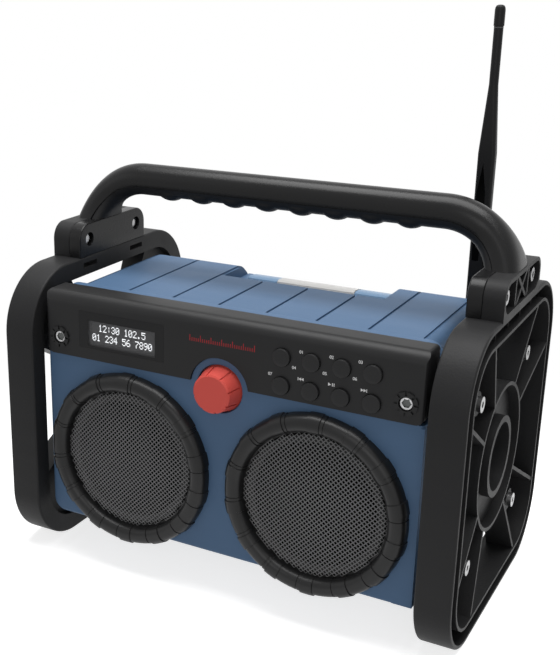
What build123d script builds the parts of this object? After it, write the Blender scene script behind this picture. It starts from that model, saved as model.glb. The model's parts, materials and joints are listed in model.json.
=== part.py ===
from build123d import *
from math import atan2, cos, degrees, radians, sin
import os

# A jobsite radio: a speaker cabinet slung between two ribbed end frames, which a carrying handle
# joins across the top. Origin: the floor, under the middle of the frames. +X is the listener's
# right, the front faces -Y, +Z is up. All sizes in millimetres.

os.makedirs("parts", exist_ok=True)

# ---------------------------------------------------------------- end frames
overall_width = 340.0
frame_width = 24.0
frame_depth = 216.5
frame_height = 217.0
frame_corner = 46.0
frame_edge_round = 1.6
outer_wall = 3.0
lip_offset = 12.0
lip_wall = 2.2
channel_floor = 3.0
channel_web = 1.6
channel_web_drop = 4.0
channel_web_pitch = 30.0
lip_drop = 0.4

hub_radius = 52.0
hub_wall = 2.6
hub_drop = 4.5
hub_floor_drop = 11.5
hub_floor = 2.5
eye_radius = 24.0
eye_wall = 4.6
rib_thickness = 2.6
rib_inner_set = 4.0
rib_angles = (30, 60, 120, 150, 210, 240, 300, 330)
corner_plate_drop = 15.0
corner_plate = 3.0
frame_screw_reach = 57.5
frame_boss_radius = 8.0
frame_boss_drop = 8.0
frame_screw_radius = 2.6
screw_head_radius = 5.2
screw_head_height = 3.2
screw_grip = 8.0

# ---------------------------------------------------------------- handle and its clamps
handle_radius = 11.7
handle_rise = 31.3
handle_bend = 43.3
handle_inset = 10.7
foot_turn = 42.0
handle_parting = 3.5
parting_groove = 1.1
parting_groove_depth = 0.9
foot_core_half = 13.5
grip_bumps = 8
grip_pitch = 26.4
grip_bump_depth = 2.5
grip_bump_length = 15.0
foot_depth = 40.0
block_depth = 91.2
block_height = 24.5
block_corner = 12.0
block_wall = 2.6
brace_lean = 38.0
clamp_thickness = 10.0
clamp_bolt_reach = 32.6
clamp_bolt_drop = 12.0
clamp_bolt_radius = 2.5
clamp_bore_radius = 5.2
clamp_bore_depth = 5.2
clamp_nut_radius = 3.6
clamp_seam = 0.5
tenon_width = 12.0
tenon_depth = 28.0
tenon_length = 19.0
slip = 0.1

# ---------------------------------------------------------------- cabinet
wall = 3.0
front_y = -95.75
housing_gap = 4.5
housing_bottom = 32.3
housing_top = 206.0
housing_length = 29.5
housing_corner = 10.0
housing_front_round = 3.5
cabinet_gap = 11.0
cabinet_bottom = 34.3
cabinet_top = 205.0
cabinet_rear = 56.75
cabinet_rear_round = 23.0
cabinet_foot_round = 12.0
cabinet_side_round = 10.0
gasket = 1.0
groove_pitch = 36.2
groove_width = 2.0
groove_depth = 1.4
seam_set = 7.8
notch_left = -53.5
notch_right = 75.0
notch_front = 6.25
notch_depth = 9.4
lamp_left = -46.5
lens_left = -22.0
lens_right = 41.0
lamp_front = 36.5
lamp_rise = 2.0
lens_rise = 0.4

# ---------------------------------------------------------------- control panel
panel_bottom = 160.0
panel_proud = 1.5
panel_rise = 0.8
panel_wall = 2.5
panel_sill = 1.4
panel_reach = 20.5
panel_top_round = 9.0
panel_corner = 6.0
panel_end_round = 3.0
panel_inset = 0.5
knob_z = 157.2
knob_base_radius = 16.5
knob_face_radius = 13.6
knob_length = 15.25
knob_gap = 1.2
knob_recess = 4.2
knob_recess_clear = 1.1
knob_opening = 22.0
knob_collar = 1.4
knob_grooves = 8
knob_groove_width = 1.1
knob_groove_depth = 0.8
knob_first_groove = 14.0
shaft_radius = 3.0
bush_radius = 4.5
encoder_size = 14.0
button_radius = 6.0
button_top_z = 188.2
button_drop = 19.4
button_gap = 0.3
button_proud = 0.7
button_travel = 1.0
button_flange = 1.2
stem_radius = 1.6
switch_size = 7.0
switch_depth = 3.4
switch_gap = 1.5
board_thickness = 1.6
board_set = 21.5
display_z = 182.0
display_height = 26.8
display_ledge = 1.4
panel_screw_set = 12.5
panel_screw_z = 173.0
panel_boss_radius = 7.8
panel_boss_rise = 1.2
panel_screw_radius = 4.4
panel_screw_socket = 2.2

# ---------------------------------------------------------------- loudspeakers
speaker_z = 90.0
ring_width = 15.0
ring_rise = 9.0
ring_bands = 14
ring_band_angle = 8.5
ring_band_rise = 0.7
ring_foot = 1.8
ring_foot_height = 0.8
grille_rise = 3.4
grille_thickness = 1.2
grille_dome = 2.0
grille_hole = 3.2
grille_hole_pitch = 9.0
basket_depth = 30.0
basket_wall = 1.5
magnet_radius = 27.0
magnet_depth = 16.0

# ---------------------------------------------------------------- back
battery_set = 69.0
battery_bottom = 46.0
battery_top = 150.0
battery_reach = 30.0
battery_wall = 2.5
battery_corner = 8.0
door_thickness = 3.0
door_gap = 0.3
door_ribs = 7
door_rib_pitch = 14.0
door_rib_rise = 0.9
hinge_y_set = 3.0
hinge_drop = 6.5
hinge_pin_radius = 1.8
hinge_barrel = 4.0
hinge_ear_set = 18.0
hinge_ear_width = 8.0
fit = 0.05
socket_z = 84.0
socket_width = 46.0
socket_height = 22.0
flap_thickness = 2.2
flap_barrel = 1.6
flap_pin = 1.0
antenna_set = 17.2
antenna_y = 81.75
antenna_top = 400.5
antenna_pivot_z = 168.0
antenna_rod_radius = 3.2
antenna_blade_width = 12.3
antenna_blade_depth = 8.2
antenna_blade_top = 300.0
antenna_taper_top = 347.0
tongue_thickness = 3.4
pivot_pin_radius = 1.3
mount_radius = 8.5
mount_top = 152.0
mount_height = 22.0
post_radius = 3.5
foot_screw_reach = 100.0

frame_mid_z = frame_height / 2
frame_outer_x = overall_width / 2
frame_inner_x = frame_outer_x - frame_width
handle_x = frame_outer_x - handle_inset
block_top = frame_height + block_height
handle_height = block_top + handle_rise
housing_half = frame_inner_x - housing_gap
cabinet_half = frame_inner_x - cabinet_gap
clamp_inner_x = frame_inner_x
clamp_outer_x = frame_inner_x + clamp_thickness
clamp_bolt_z = block_top - clamp_bolt_drop
housing_rear = front_y + housing_length
cabinet_front = housing_rear + gasket
panel_front = front_y - panel_proud
panel_rear = panel_front + panel_reach + panel_proud
panel_top = housing_top + panel_rise
panel_back_face = panel_front + panel_wall
notch_floor = cabinet_top - notch_depth
knob_floor = front_y + knob_recess
knob_back = knob_floor - knob_gap
knob_front = knob_back - knob_length
encoder_front = knob_floor + wall

# What lies across the front keeps its share of the housing's width.
speaker_x = 0.506 * housing_half
ring_outer = 0.4558 * housing_half
ring_inner = ring_outer - ring_width
grille_edge = ring_inner - ring_foot - 0.2
speaker_hole = ring_inner - 4.0
basket_throat = magnet_radius - 3.0
button_left_x = 0.3216 * housing_half
button_pitch = 0.1452 * housing_half
display_x = -0.5463 * housing_half
display_width = 0.4912 * housing_half
board_half = housing_half - board_set
panel_screw_x = housing_half - panel_screw_set

# What lies across the back follows the cabinet's width.
battery_half = cabinet_half - battery_set
hinge_ear_x = battery_half - hinge_ear_set
socket_x = -(cabinet_half + battery_half) / 2
antenna_x = cabinet_half - antenna_set


# ---------------------------------------------------------------- helpers
def block(x, y, z):
    """A box between two values on each axis."""
    size = Box(abs(x[1] - x[0]), abs(y[1] - y[0]), abs(z[1] - z[0]))
    return Pos((x[0] + x[1]) / 2, (y[0] + y[1]) / 2, (z[0] + z[1]) / 2) * size


def rod_x(radius, x, y, z):
    """A cylinder along X, from x[0] to x[1]."""
    turned = Rot(0, 90, 0) * Cylinder(radius, abs(x[1] - x[0]))
    return Pos((x[0] + x[1]) / 2, y, z) * turned


def rod_y(radius, x, y, z):
    """A cylinder along Y, from y[0] to y[1]."""
    turned = Rot(90, 0, 0) * Cylinder(radius, abs(y[1] - y[0]))
    return Pos(x, (y[0] + y[1]) / 2, z) * turned


def rod_z(radius, x, y, z):
    """A cylinder along Z, from z[0] to z[1]."""
    return Pos(x, y, (z[0] + z[1]) / 2) * Cylinder(radius, abs(z[1] - z[0]))


def side_plane(x):
    """A sketch plane across X: its own x is Y and its own y is Z, from the frame's middle."""
    return Plane(origin=(x, 0, frame_mid_z), x_dir=(0, 1, 0), z_dir=(1, 0, 0))


def profile_plane(x):
    """A sketch plane across X in the object's own Y and Z."""
    return Plane(origin=(x, 0, 0), x_dir=(0, 1, 0), z_dir=(1, 0, 0))


def front_plane(y):
    """A sketch plane that faces the front, in the object's own X and Z."""
    return Plane(origin=(0, y, 0), x_dir=(1, 0, 0), z_dir=(0, -1, 0))


def turned_y(profile, x, y, z, arc=360):
    """A solid of revolution about a line along Y: the profile is (radius, distance to the back)."""
    plane = Plane(origin=(x, y, z), x_dir=(1, 0, 0), z_dir=(0, 0, 1))
    return revolve(plane * Polygon(*profile, align=None), Axis((x, y, z), (0, 1, 0)), arc)


def mirrored(solid):
    """The same piece for the other end of the radio."""
    return mirror(solid, about=Plane.YZ)


def hexagon(radius, x, y, z):
    """A hexagonal bar along X."""
    bar = extrude(profile_plane(x[0]) * Pos(y, z) * RegularPolygon(radius, 6), x[1] - x[0])
    return bar


# ---------------------------------------------------------------- end frames
def frame_outline(inset):
    """The rounded square of the end frame, drawn in by an inset."""
    return RectangleRounded(frame_depth - 2 * inset, frame_height - 2 * inset, frame_corner - inset)


def frame_rim():
    """The hoop of the end frame: an outer band, a deep channel and an inner lip."""
    hoop = extrude(side_plane(frame_inner_x) * frame_outline(0), frame_width)
    ends = hoop.edges().group_by(Axis.X)
    hoop = fillet(ends[0] + ends[-1], frame_edge_round)
    hoop -= extrude(side_plane(frame_inner_x) * frame_outline(lip_offset + lip_wall), frame_width)
    channel = frame_outline(outer_wall) - frame_outline(lip_offset)
    hoop -= extrude(side_plane(frame_inner_x + channel_floor) * channel, frame_width)
    return hoop


def channel_webs():
    """Small cross webs that stiffen the channel along its four straight sides."""
    low = frame_inner_x + channel_floor - 1
    high = frame_outer_x - channel_web_drop
    near = lip_offset + lip_wall / 2
    far = outer_wall / 2
    webs = []
    for place in (-1.5, -0.5, 0.5, 1.5):
        along = place * channel_web_pitch
        across = (along - channel_web / 2, along + channel_web / 2)
        for sign in (-1, 1):
            reach_y = (sign * (frame_depth / 2 - near), sign * (frame_depth / 2 - far))
            reach_z = (frame_mid_z + sign * (frame_height / 2 - near),
                       frame_mid_z + sign * (frame_height / 2 - far))
            rise = (across[0] + frame_mid_z, across[1] + frame_mid_z)
            webs.append(block((low, high), across, reach_z))
            webs.append(block((low, high), reach_y, rise))
    return webs


def radial_rib(angle):
    """One rib from the hub out to the inner lip; its crest falls towards the hub."""
    along = (0, cos(radians(angle)), sin(radians(angle)))
    normal = (0, sin(radians(angle)), -cos(radians(angle)))
    plane = Plane(origin=(0, 0, frame_mid_z), x_dir=along, z_dir=normal)
    reach = (frame_depth / 2 - lip_offset - lip_wall / 2) / max(abs(along[1]), abs(along[2]))
    inner = hub_radius - hub_wall / 2
    low = frame_inner_x + rib_inner_set
    crest = Polygon((inner, low), (reach, low), (reach, frame_outer_x - lip_drop),
                    (inner, frame_outer_x - hub_drop), align=None)
    return extrude(plane * crest, rib_thickness / 2, both=True)


def corner_webs():
    """Four plates between the pairs of ribs, which carry the screw bosses."""
    reach = frame_depth
    inside = frame_outline(lip_offset + lip_wall / 2) - Circle(hub_radius - hub_wall / 2)
    top = frame_outer_x - corner_plate_drop
    plates = []
    for turn in (0, 90, 180, 270):
        wedge = Polygon((0, 0), (reach * cos(radians(30)), reach * sin(radians(30))),
                        (reach * cos(radians(60)), reach * sin(radians(60))), align=None)
        plates.append(extrude(side_plane(top) * ((Rot(0, 0, turn) * wedge) & inside), -corner_plate))
    return plates


def hub():
    """The round hub: an outer ring, a dished floor and an open eye."""
    low = frame_inner_x + rib_inner_set
    ring = Circle(hub_radius) - Circle(hub_radius - hub_wall)
    eye = Circle(eye_radius + eye_wall) - Circle(eye_radius)
    floor = Circle(hub_radius - hub_wall / 2) - Circle(eye_radius + eye_wall / 2)
    return [
        extrude(side_plane(low) * ring, frame_outer_x - hub_drop - low),
        extrude(side_plane(low) * eye, frame_outer_x - hub_drop - low),
        extrude(side_plane(frame_outer_x - hub_floor_drop) * floor, -hub_floor),
    ]


def frame_screw_places():
    """The (y, z) of the four screws that hold one end frame to the cabinet."""
    reach = frame_screw_reach
    return [(a * reach, frame_mid_z + b * reach) for a in (-1, 1) for b in (-1, 1)]


def upper_rim(face):
    """The edges of a mount's side face, without the one it stands on."""
    return [edge for edge in face.edges() if edge.center().Z > frame_height + 1]


def handle_block():
    """The half of the handle mount that is moulded on top of the end frame."""
    drawn = Pos(0, frame_height / 2 + block_height / 2 - 1) * Rectangle(block_depth, block_height + 2)
    drawn = fillet(drawn.vertices().group_by(Axis.Y)[-1], block_corner)
    shape = extrude(side_plane(clamp_outer_x) * drawn, frame_outer_x - clamp_outer_x)
    shape = chamfer(upper_rim(shape.faces().sort_by(Axis.X)[0]), clamp_seam)
    pocket = Pos(0, frame_height / 2 + block_height / 2) * Rectangle(
        block_depth - 2 * block_wall, block_height - 2 * block_wall)
    pocket = fillet(pocket.vertices(), block_corner - block_wall)
    shape -= extrude(side_plane(clamp_outer_x + block_wall) * pocket, frame_width)
    core = block((clamp_outer_x, clamp_outer_x + tenon_width / 2 + block_wall),
                 (-tenon_depth / 2 - block_wall, tenon_depth / 2 + block_wall),
                 (frame_height, block_top - block_wall / 2))
    shape += core
    mid_z = frame_height + block_height / 2
    brace_reach = (block_height - block_wall) / 2 / sin(radians(brace_lean))
    for lean in (-brace_lean, brace_lean):
        brace = block((clamp_outer_x + 1, frame_outer_x - 1), (-brace_reach, brace_reach),
                      (-rib_thickness / 2, rib_thickness / 2))
        shape += Pos(0, 0, mid_z) * Rot(lean, 0, 0) * brace
    for side in (-1, 1):
        post_y = side * (tenon_depth / 2 + block_wall / 2)
        shape += block((clamp_outer_x + 1, frame_outer_x - 1),
                       (post_y - block_wall / 2, post_y + block_wall / 2),
                       (frame_height - 1, block_top - block_wall / 2))
        shape += rod_x(clamp_bore_radius + 1.4, (clamp_outer_x + 1, frame_outer_x - screw_head_height - 2),
                       side * clamp_bolt_reach, clamp_bolt_z)
    return shape


def tenon_socket():
    """The space that the handle's tenon takes up in the two halves of its mount."""
    grow = slip
    middle = clamp_outer_x
    return block((middle - tenon_width / 2 - grow, middle + tenon_width / 2 + grow),
                 (-tenon_depth / 2 - grow, tenon_depth / 2 + grow),
                 (block_top - tenon_length - grow, block_top + 1))


def end_frame():
    """The right-hand end frame with its hub, ribs, screw bosses and handle mount."""
    frame = frame_rim()
    pieces = channel_webs() + [radial_rib(angle) for angle in rib_angles]
    pieces += corner_webs() + hub() + [handle_block()]
    for y, z in frame_screw_places():
        pieces.append(rod_x(frame_boss_radius, (cabinet_half, frame_outer_x - frame_boss_drop), y, z))
    frame = frame.fuse(*pieces)
    for y, z in frame_screw_places():
        frame -= rod_x(frame_screw_radius + slip, (cabinet_half - 1, frame_outer_x), y, z)
    for side in (-1, 1):
        frame -= rod_x(clamp_bolt_radius + slip, (frame_inner_x - 1, frame_outer_x + 1),
                       side * clamp_bolt_reach, clamp_bolt_z)
        slot_y = side * clamp_bolt_reach
        frame -= block((frame_inner_x - 1, frame_inner_x + channel_floor + 1), (slot_y - 9, slot_y + 9),
                       (frame_height - outer_wall - 5.5, frame_height - outer_wall - 1.7))
    frame -= tenon_socket()
    return frame


def frame_screws():
    """Four hexagon-socket screws that pass through the bosses into the cabinet."""
    top = frame_outer_x - frame_boss_drop
    screws = []
    for y, z in frame_screw_places():
        screw = rod_x(screw_head_radius, (top, top + screw_head_height), y, z)
        screw -= hexagon(screw_head_radius * 0.45, (top + 1, top + screw_head_height + 1), y, z)
        screw += rod_x(frame_screw_radius, (cabinet_half - screw_grip, top + 0.5), y, z)
        screws.append(screw)
    return Compound(children=screws)


def handle_clamp():
    """The inner half of the handle mount, with counterbores for its two nuts."""
    drawn = Pos(0, frame_height / 2 + block_height / 2) * Rectangle(block_depth, block_height)
    drawn = fillet(drawn.vertices().group_by(Axis.Y)[-1], block_corner)
    shape = extrude(side_plane(clamp_inner_x) * drawn, clamp_thickness)
    shape = fillet(upper_rim(shape.faces().sort_by(Axis.X)[0]), 1.2)
    shape = chamfer(upper_rim(shape.faces().sort_by(Axis.X)[-1]), clamp_seam)
    for side in (-1, 1):
        y = side * clamp_bolt_reach
        shape -= rod_x(clamp_bore_radius, (clamp_inner_x - 1, clamp_inner_x + clamp_bore_depth), y, clamp_bolt_z)
        shape -= rod_x(clamp_bolt_radius + slip, (clamp_inner_x, clamp_outer_x + 1), y, clamp_bolt_z)
    return shape - tenon_socket()


def clamp_bolts():
    """Two bolts with round nuts that pull the halves of a handle mount together."""
    head = frame_outer_x - screw_head_height - 2
    nut = clamp_inner_x + clamp_bore_depth
    bolts = []
    for side in (-1, 1):
        y = side * clamp_bolt_reach
        bolt = rod_x(clamp_bore_radius - 0.4, (head, head + screw_head_height), y, clamp_bolt_z)
        bolt -= hexagon(clamp_bolt_radius, (head + 1, head + screw_head_height + 1), y, clamp_bolt_z)
        bolt += rod_x(clamp_bolt_radius, (nut - 3.0, head + 0.5), y, clamp_bolt_z)
        bolt += rod_x(clamp_nut_radius, (nut - 2.4, nut), y, clamp_bolt_z)
        bolts.append(bolt)
    return Compound(children=bolts)


# ---------------------------------------------------------------- handle
def handle_tube(inset):
    """The round bar of the handle: a straight grip with a wide bend down to each mount."""
    x = handle_x - handle_bend
    radius = handle_radius - inset
    bar = rod_x(radius, (-x, x), 0, handle_height)
    start = Plane(origin=(x, 0, handle_height), x_dir=(0, 1, 0), z_dir=(1, 0, 0)) * Circle(radius)
    bend = revolve(start, Axis((x, 0, handle_height - handle_bend), (0, 1, 0)), 90)
    bend -= block((0, overall_width), (-handle_radius - 1, handle_radius + 1), (0, block_top))
    return bar.fuse(bend, mirrored(bend))


def handle_foot(inset):
    """The flare at the foot of a leg."""
    drop = block_top - (handle_height - handle_bend)
    foot_x = handle_x - handle_bend + (handle_bend ** 2 - drop ** 2) ** 0.5
    corner = handle_radius * 0.8 - inset
    low = Plane(origin=(foot_x, 0, block_top)) * RectangleRounded(
        2 * (handle_radius - inset), foot_depth - 2 * inset, corner)
    across = (cos(radians(foot_turn)), 0, sin(radians(foot_turn)))
    along = (-across[2], 0, across[0])
    neck = (handle_x - handle_bend + handle_bend * across[0], 0,
            handle_height - handle_bend + handle_bend * across[2])
    span = 2 * (handle_radius - inset) - 2.0
    high = Plane(origin=neck, x_dir=across, z_dir=along) * RectangleRounded(span, span, corner)
    return loft([low, high])


def handle_tenon():
    """The square tenon under a leg, which the two halves of a mount grip."""
    return block((clamp_outer_x - tenon_width / 2, clamp_outer_x + tenon_width / 2),
                 (-tenon_depth / 2, tenon_depth / 2), (block_top - tenon_length, block_top + 2))


def handle_form(inset):
    """The whole handle without its tenons, drawn in by an inset."""
    foot = handle_foot(inset)
    return handle_tube(inset).fuse(foot, mirrored(foot))


def under_line(drop):
    """The solid region below the handle's centre line, for parting it in two."""
    x = handle_x - drop
    r = handle_bend - drop
    top = handle_height - drop
    drawn = Pos(0, top / 2) * RectangleRounded(2 * x, top, r)
    lower = Pos(0, block_top / 4) * Rectangle(2 * x, block_top / 2)
    face = Plane(origin=(0, 0, 0), x_dir=(1, 0, 0), z_dir=(0, -1, 0)) * (drawn + lower)
    return extrude(face, 60, both=True)


def grip_bump_list():
    """Finger bumps along the underside of the grip."""
    bumps = []
    reach = handle_radius + grip_bump_depth
    radius = (grip_bump_length ** 2 / 4 + grip_bump_depth ** 2) / (2 * grip_bump_depth) + 6.0
    for index in range(grip_bumps):
        x = (index - (grip_bumps - 1) / 2) * grip_pitch
        ball = Pos(x, 0, handle_height - reach + radius) * Sphere(radius)
        keep = rod_x(handle_radius + grip_bump_depth, (x - grip_bump_length, x + grip_bump_length),
                     0, handle_height)
        bumps.append((ball & keep) & block((x - 12, x + 12), (-9, 9), (0, handle_height - 6)))
    return bumps


def handle_shells():
    """The outer shell and the inner grip shell of the handle, with the groove where they meet."""
    whole = handle_form(0)
    inner_region = under_line(handle_parting)
    outer = whole - inner_region
    grip = whole & inner_region
    band = inner_region - under_line(handle_parting + parting_groove)
    grip -= band - handle_form(parting_groove_depth)
    for side in (-1, 1):
        grip -= block((-frame_outer_x, frame_outer_x), (side * foot_core_half, side * foot_depth),
                      (block_top - 1, handle_height))
    tenon = handle_tenon()
    tenons = tenon.fuse(mirrored(tenon))
    outer = outer.fuse(tenons - inner_region)
    grip = grip.fuse(tenons & inner_region, *grip_bump_list())
    return outer, grip


# ---------------------------------------------------------------- cabinet
def housing_face(inset):
    """The front view of the front housing, drawn in by an inset."""
    width = 2 * (housing_half - inset)
    height = housing_top - housing_bottom - 2 * inset
    return Pos(0, (housing_top + housing_bottom) / 2) * RectangleRounded(width, height, housing_corner - inset)


def front_housing():
    """The blue front: a baffle with two openings and a recess above it for the panel."""
    shell = extrude(front_plane(housing_rear) * housing_face(0), housing_length)
    shell = fillet(shell.faces().sort_by(Axis.Y)[0].edges(), housing_front_round)
    shell = fillet(shell.faces().sort_by(Axis.Y)[-1].edges(), 1.0)
    shell -= extrude(front_plane(housing_rear + 1) * housing_face(wall), housing_length + 1 - wall)
    shell += extrude(front_plane(housing_rear) * (housing_face(wall - 0.5) - cabinet_opening()), wall)
    wide = housing_half + 1
    shelf = block((wall - housing_half, housing_half - wall), (front_y + wall, panel_rear + wall),
                  (panel_bottom - wall, panel_bottom))
    shelf += block((wall - housing_half, housing_half - wall), (panel_rear, panel_rear + wall),
                   (panel_bottom - wall, housing_top - wall))
    shell -= block((-wide, wide), (front_y - 1, panel_rear), (panel_bottom, housing_top + 1))
    shell += shelf
    shell += block((-housing_half, housing_half), (panel_rear, housing_rear),
                   (panel_bottom, panel_bottom + wall)) - block(
                       (wall - housing_half, housing_half - wall), (front_y, housing_rear + 1),
                       (0, panel_top))
    shell += rod_y(knob_opening - 0.3, 0, (front_y, encoder_front), knob_z)
    dish = [(0, -1), (knob_opening - knob_collar, -1), (knob_opening - knob_collar, 0),
            (knob_base_radius + knob_recess_clear, knob_recess), (0, knob_recess)]
    shell -= turned_y(dish, 0, front_y, knob_z)
    for side in (-1, 1):
        shell -= rod_y(speaker_hole, side * speaker_x, (front_y - 1, front_y + wall + 1), speaker_z)
        shell += rod_y(5.0, side * panel_screw_x, (panel_rear - 6.0, panel_rear + 0.5), panel_screw_z)
        shell -= rod_y(1.8, side * panel_screw_x, (panel_rear - 7.0, panel_rear + 1.5), panel_screw_z)
    half = encoder_size / 2 + 0.4
    shell -= block((-half, half), (encoder_front, panel_rear - 4), (knob_z - half, knob_z + half))
    shell -= rod_y(bush_radius + slip, 0, (front_y - 1, encoder_front + 1), knob_z)
    return shell


def cabinet_opening():
    """The open front of the cabinet, in the front view."""
    height = cabinet_top - cabinet_bottom - 2 * wall
    return Pos(0, (cabinet_top + cabinet_bottom) / 2) * RectangleRounded(
        2 * (cabinet_half - wall), height, cabinet_side_round - wall)


def cabinet_profile(inset, open_by=0.0):
    """The side view of the cabinet: flat top, round back edge."""
    front = cabinet_front - open_by
    width = cabinet_rear - inset - front
    height = cabinet_top - cabinet_bottom - 2 * inset
    face = Pos(front + width / 2, cabinet_bottom + inset + height / 2) * Rectangle(width, height)
    corners = face.vertices().group_by(Axis.X)[-1].sort_by(Axis.Y)
    face = fillet(corners[-1], cabinet_rear_round - inset)
    corners = face.vertices().sort_by(Axis.Y)[:2].sort_by(Axis.X)
    return fillet(corners[-1], cabinet_foot_round - inset)


def cabinet_body(inset, open_by=0.0):
    """The bar that the cabinet is cut from, with round shoulders at its two ends."""
    half = cabinet_half - inset
    bar = extrude(profile_plane(-half) * cabinet_profile(inset, open_by), 2 * half)
    ends = bar.faces().sort_by(Axis.X)
    rims = [edge for edge in ends[0].edges() + ends[-1].edges() if edge.center().Y > cabinet_front]
    return fillet(rims, cabinet_side_round - inset)


def groove_places():
    """The x of each groove in the top, with the joint lines at the two sides."""
    reach = [(index + 0.5) * groove_pitch for index in range(3)] + [cabinet_half - seam_set]
    return [side * x for side in (-1, 1) for x in reach]


def cabinet_shell():
    """The blue cabinet behind the front: walls, grooved top, lamp recess and back openings."""
    outer = cabinet_body(0)
    shell = outer - cabinet_body(wall, 1.0)
    liner = block((notch_left - wall, notch_right + wall), (notch_front - wall, cabinet_rear),
                  (notch_floor - wall, cabinet_top)) & outer
    shell += liner
    shell -= block((notch_left, notch_right), (notch_front, cabinet_rear + 1), (notch_floor, cabinet_top + 1))
    band = cabinet_profile(0) - cabinet_profile(groove_depth, 1.0)
    upper = Pos(0, cabinet_top) * Rectangle(2 * frame_depth, 2 * (cabinet_top - battery_top) + 20)
    for x in groove_places():
        shell -= extrude(profile_plane(x - groove_width / 2) * (band & upper), groove_width)
    for side in (-1, 1):
        for y, z in frame_screw_places():
            end = side * cabinet_half
            near = side * (cabinet_half - screw_grip - wall)
            lug = frame_boss_radius - 1.5
            shell += rod_x(lug, (near, end), y, z)
            if y > 0:
                shell += block((near, end), (cabinet_rear - 2 * wall, y), (z - lug, z + lug))
            shell -= rod_x(frame_screw_radius + fit, (side * (cabinet_half - screw_grip), end), y, z)
    shell -= block((socket_x - socket_width / 2, socket_x + socket_width / 2),
                   (cabinet_rear - wall - 1, cabinet_rear + 1),
                   (socket_z - socket_height / 2, socket_z + socket_height / 2))
    return shell


def front_gasket():
    """The flat seal between the front housing and the cabinet."""
    outer = Pos(0, (cabinet_top + cabinet_bottom) / 2) * RectangleRounded(
        2 * cabinet_half - 1, cabinet_top - cabinet_bottom - 1, cabinet_side_round - 0.5)
    return extrude(front_plane(cabinet_front) * (outer - cabinet_opening()), gasket)


def lamp_profile(rise):
    """The side view of the lamp bar: a steep bevel in front and a slope down to the back edge."""
    back = cabinet_rear - cabinet_rear_round + (
        cabinet_rear_round ** 2 - (cabinet_rear_round - notch_depth) ** 2) ** 0.5 - 0.4
    return Polygon((lamp_front, notch_floor), (back, notch_floor), (back - 0.6, notch_floor + rise * 0.3),
                   (back - 6.0, notch_floor + rise * 0.8), (lamp_front + 3.2, notch_floor + rise),
                   (lamp_front + 0.6, notch_floor + rise * 0.55), align=None)


def lamp_bezel():
    """The frame of the lamp, with an opening for its lens."""
    bar = extrude(profile_plane(lamp_left) * lamp_profile(lamp_rise), notch_right - 1.0 - lamp_left)
    cut = extrude(profile_plane(lens_left) * (Pos(0, 0) * lamp_profile(lamp_rise + 3)), lens_right - lens_left)
    return bar - cut


def lamp_lens():
    """The diffusing lens of the lamp."""
    gap = 0.4
    length = lens_right - lens_left - 2 * gap
    return extrude(profile_plane(lens_left + gap) * lamp_profile(lamp_rise + lens_rise), length)


# ---------------------------------------------------------------- control panel
def panel_profile(inset, open_by=0.0):
    """The side view of the panel: an upright face that rolls over onto the top."""
    low = panel_bottom + slip - open_by
    high = panel_top - inset
    near = panel_front + inset
    far = panel_rear - slip + open_by
    face = Pos((near + far) / 2, (low + high) / 2) * Rectangle(far - near, high - low)
    corner = face.vertices().group_by(Axis.X)[0].sort_by(Axis.Y)[-1]
    return fillet(corner, panel_top_round - inset)


def panel_blank(half):
    """The panel before it is hollowed: one bar cut to its side, front and plan views."""
    bar = extrude(profile_plane(-half) * panel_profile(0), 2 * half)
    low = panel_bottom + slip
    far = panel_rear - slip
    front = Pos(0, (low + panel_top) / 2) * Rectangle(2 * half, panel_top - low)
    front = fillet(front.vertices().group_by(Axis.Y)[0], panel_corner)
    front = fillet(front.vertices().group_by(Axis.Y)[-1], panel_end_round)
    plan = Pos(0, (panel_front + far) / 2) * Rectangle(2 * half, far - panel_front)
    plan = fillet(plan.vertices().group_by(Axis.Y)[0], panel_end_round)
    bar &= extrude(front_plane(far) * front, far - panel_front)
    return bar & extrude(Plane(origin=(0, 0, low)) * plan, panel_top - low)


def display_opening(width, height, y):
    """A block that cuts the display's opening."""
    return block((display_x - width / 2, display_x + width / 2), y,
                 (display_z - height / 2, display_z + height / 2))


def button_places():
    """The (x, z) of the eight buttons, in two rows of four."""
    return [(button_left_x + col * button_pitch, button_top_z - row * button_drop)
            for row in range(2) for col in range(4)]


def control_panel():
    """The black panel over the front's upper edge, with openings for what it carries."""
    half = housing_half - panel_inset
    shell = panel_blank(half)
    shell -= extrude(profile_plane(panel_wall - half) * panel_profile(panel_wall, 1.0), 2 * (half - panel_wall))
    shell += block((panel_corner - half, half - panel_corner), (panel_front + 1, panel_rear - slip - 3),
                   (panel_bottom + slip, panel_bottom + slip + panel_sill))
    ledge = (panel_front + panel_wall - 1, panel_front + panel_wall + display_ledge)
    frame_w = display_width + 4
    frame_h = display_height + 4
    shell += display_opening(frame_w, frame_h, ledge)
    shell -= display_opening(display_width + 2 * slip, display_height + 2 * slip,
                             (panel_front - 1, panel_front + 1.8))
    shell -= display_opening(display_width - 5, display_height - 4, (panel_front, ledge[1] + 1))
    for x, z in button_places():
        shell -= rod_y(button_radius + button_gap, x, (panel_front - 1, panel_back_face + 1), z)
    for side in (-1, 1):
        x = side * panel_screw_x
        z = panel_screw_z
        shell += rod_y(panel_boss_radius, x, (panel_front - panel_boss_rise, panel_front + 1), z)
        for turn in range(8):
            slot = block((panel_boss_radius - 2.4, panel_boss_radius + 1), (-1, 0.3), (-0.7, 0.7))
            shell -= Pos(x, panel_front - panel_boss_rise + 0.7, z) * Rot(0, turn * 45, 0) * slot
        shell += rod_y(6.2, x, (panel_front + 1, panel_rear - 6.0), z)
        shell -= rod_y(panel_screw_radius + 0.3, x, (panel_front - 3, panel_front + 3.0), z)
        shell -= rod_y(2.0, x, (panel_front, panel_rear), z)
    shell -= rod_y(knob_opening, 0, (panel_front - 3, panel_rear), knob_z)
    return shell


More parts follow.
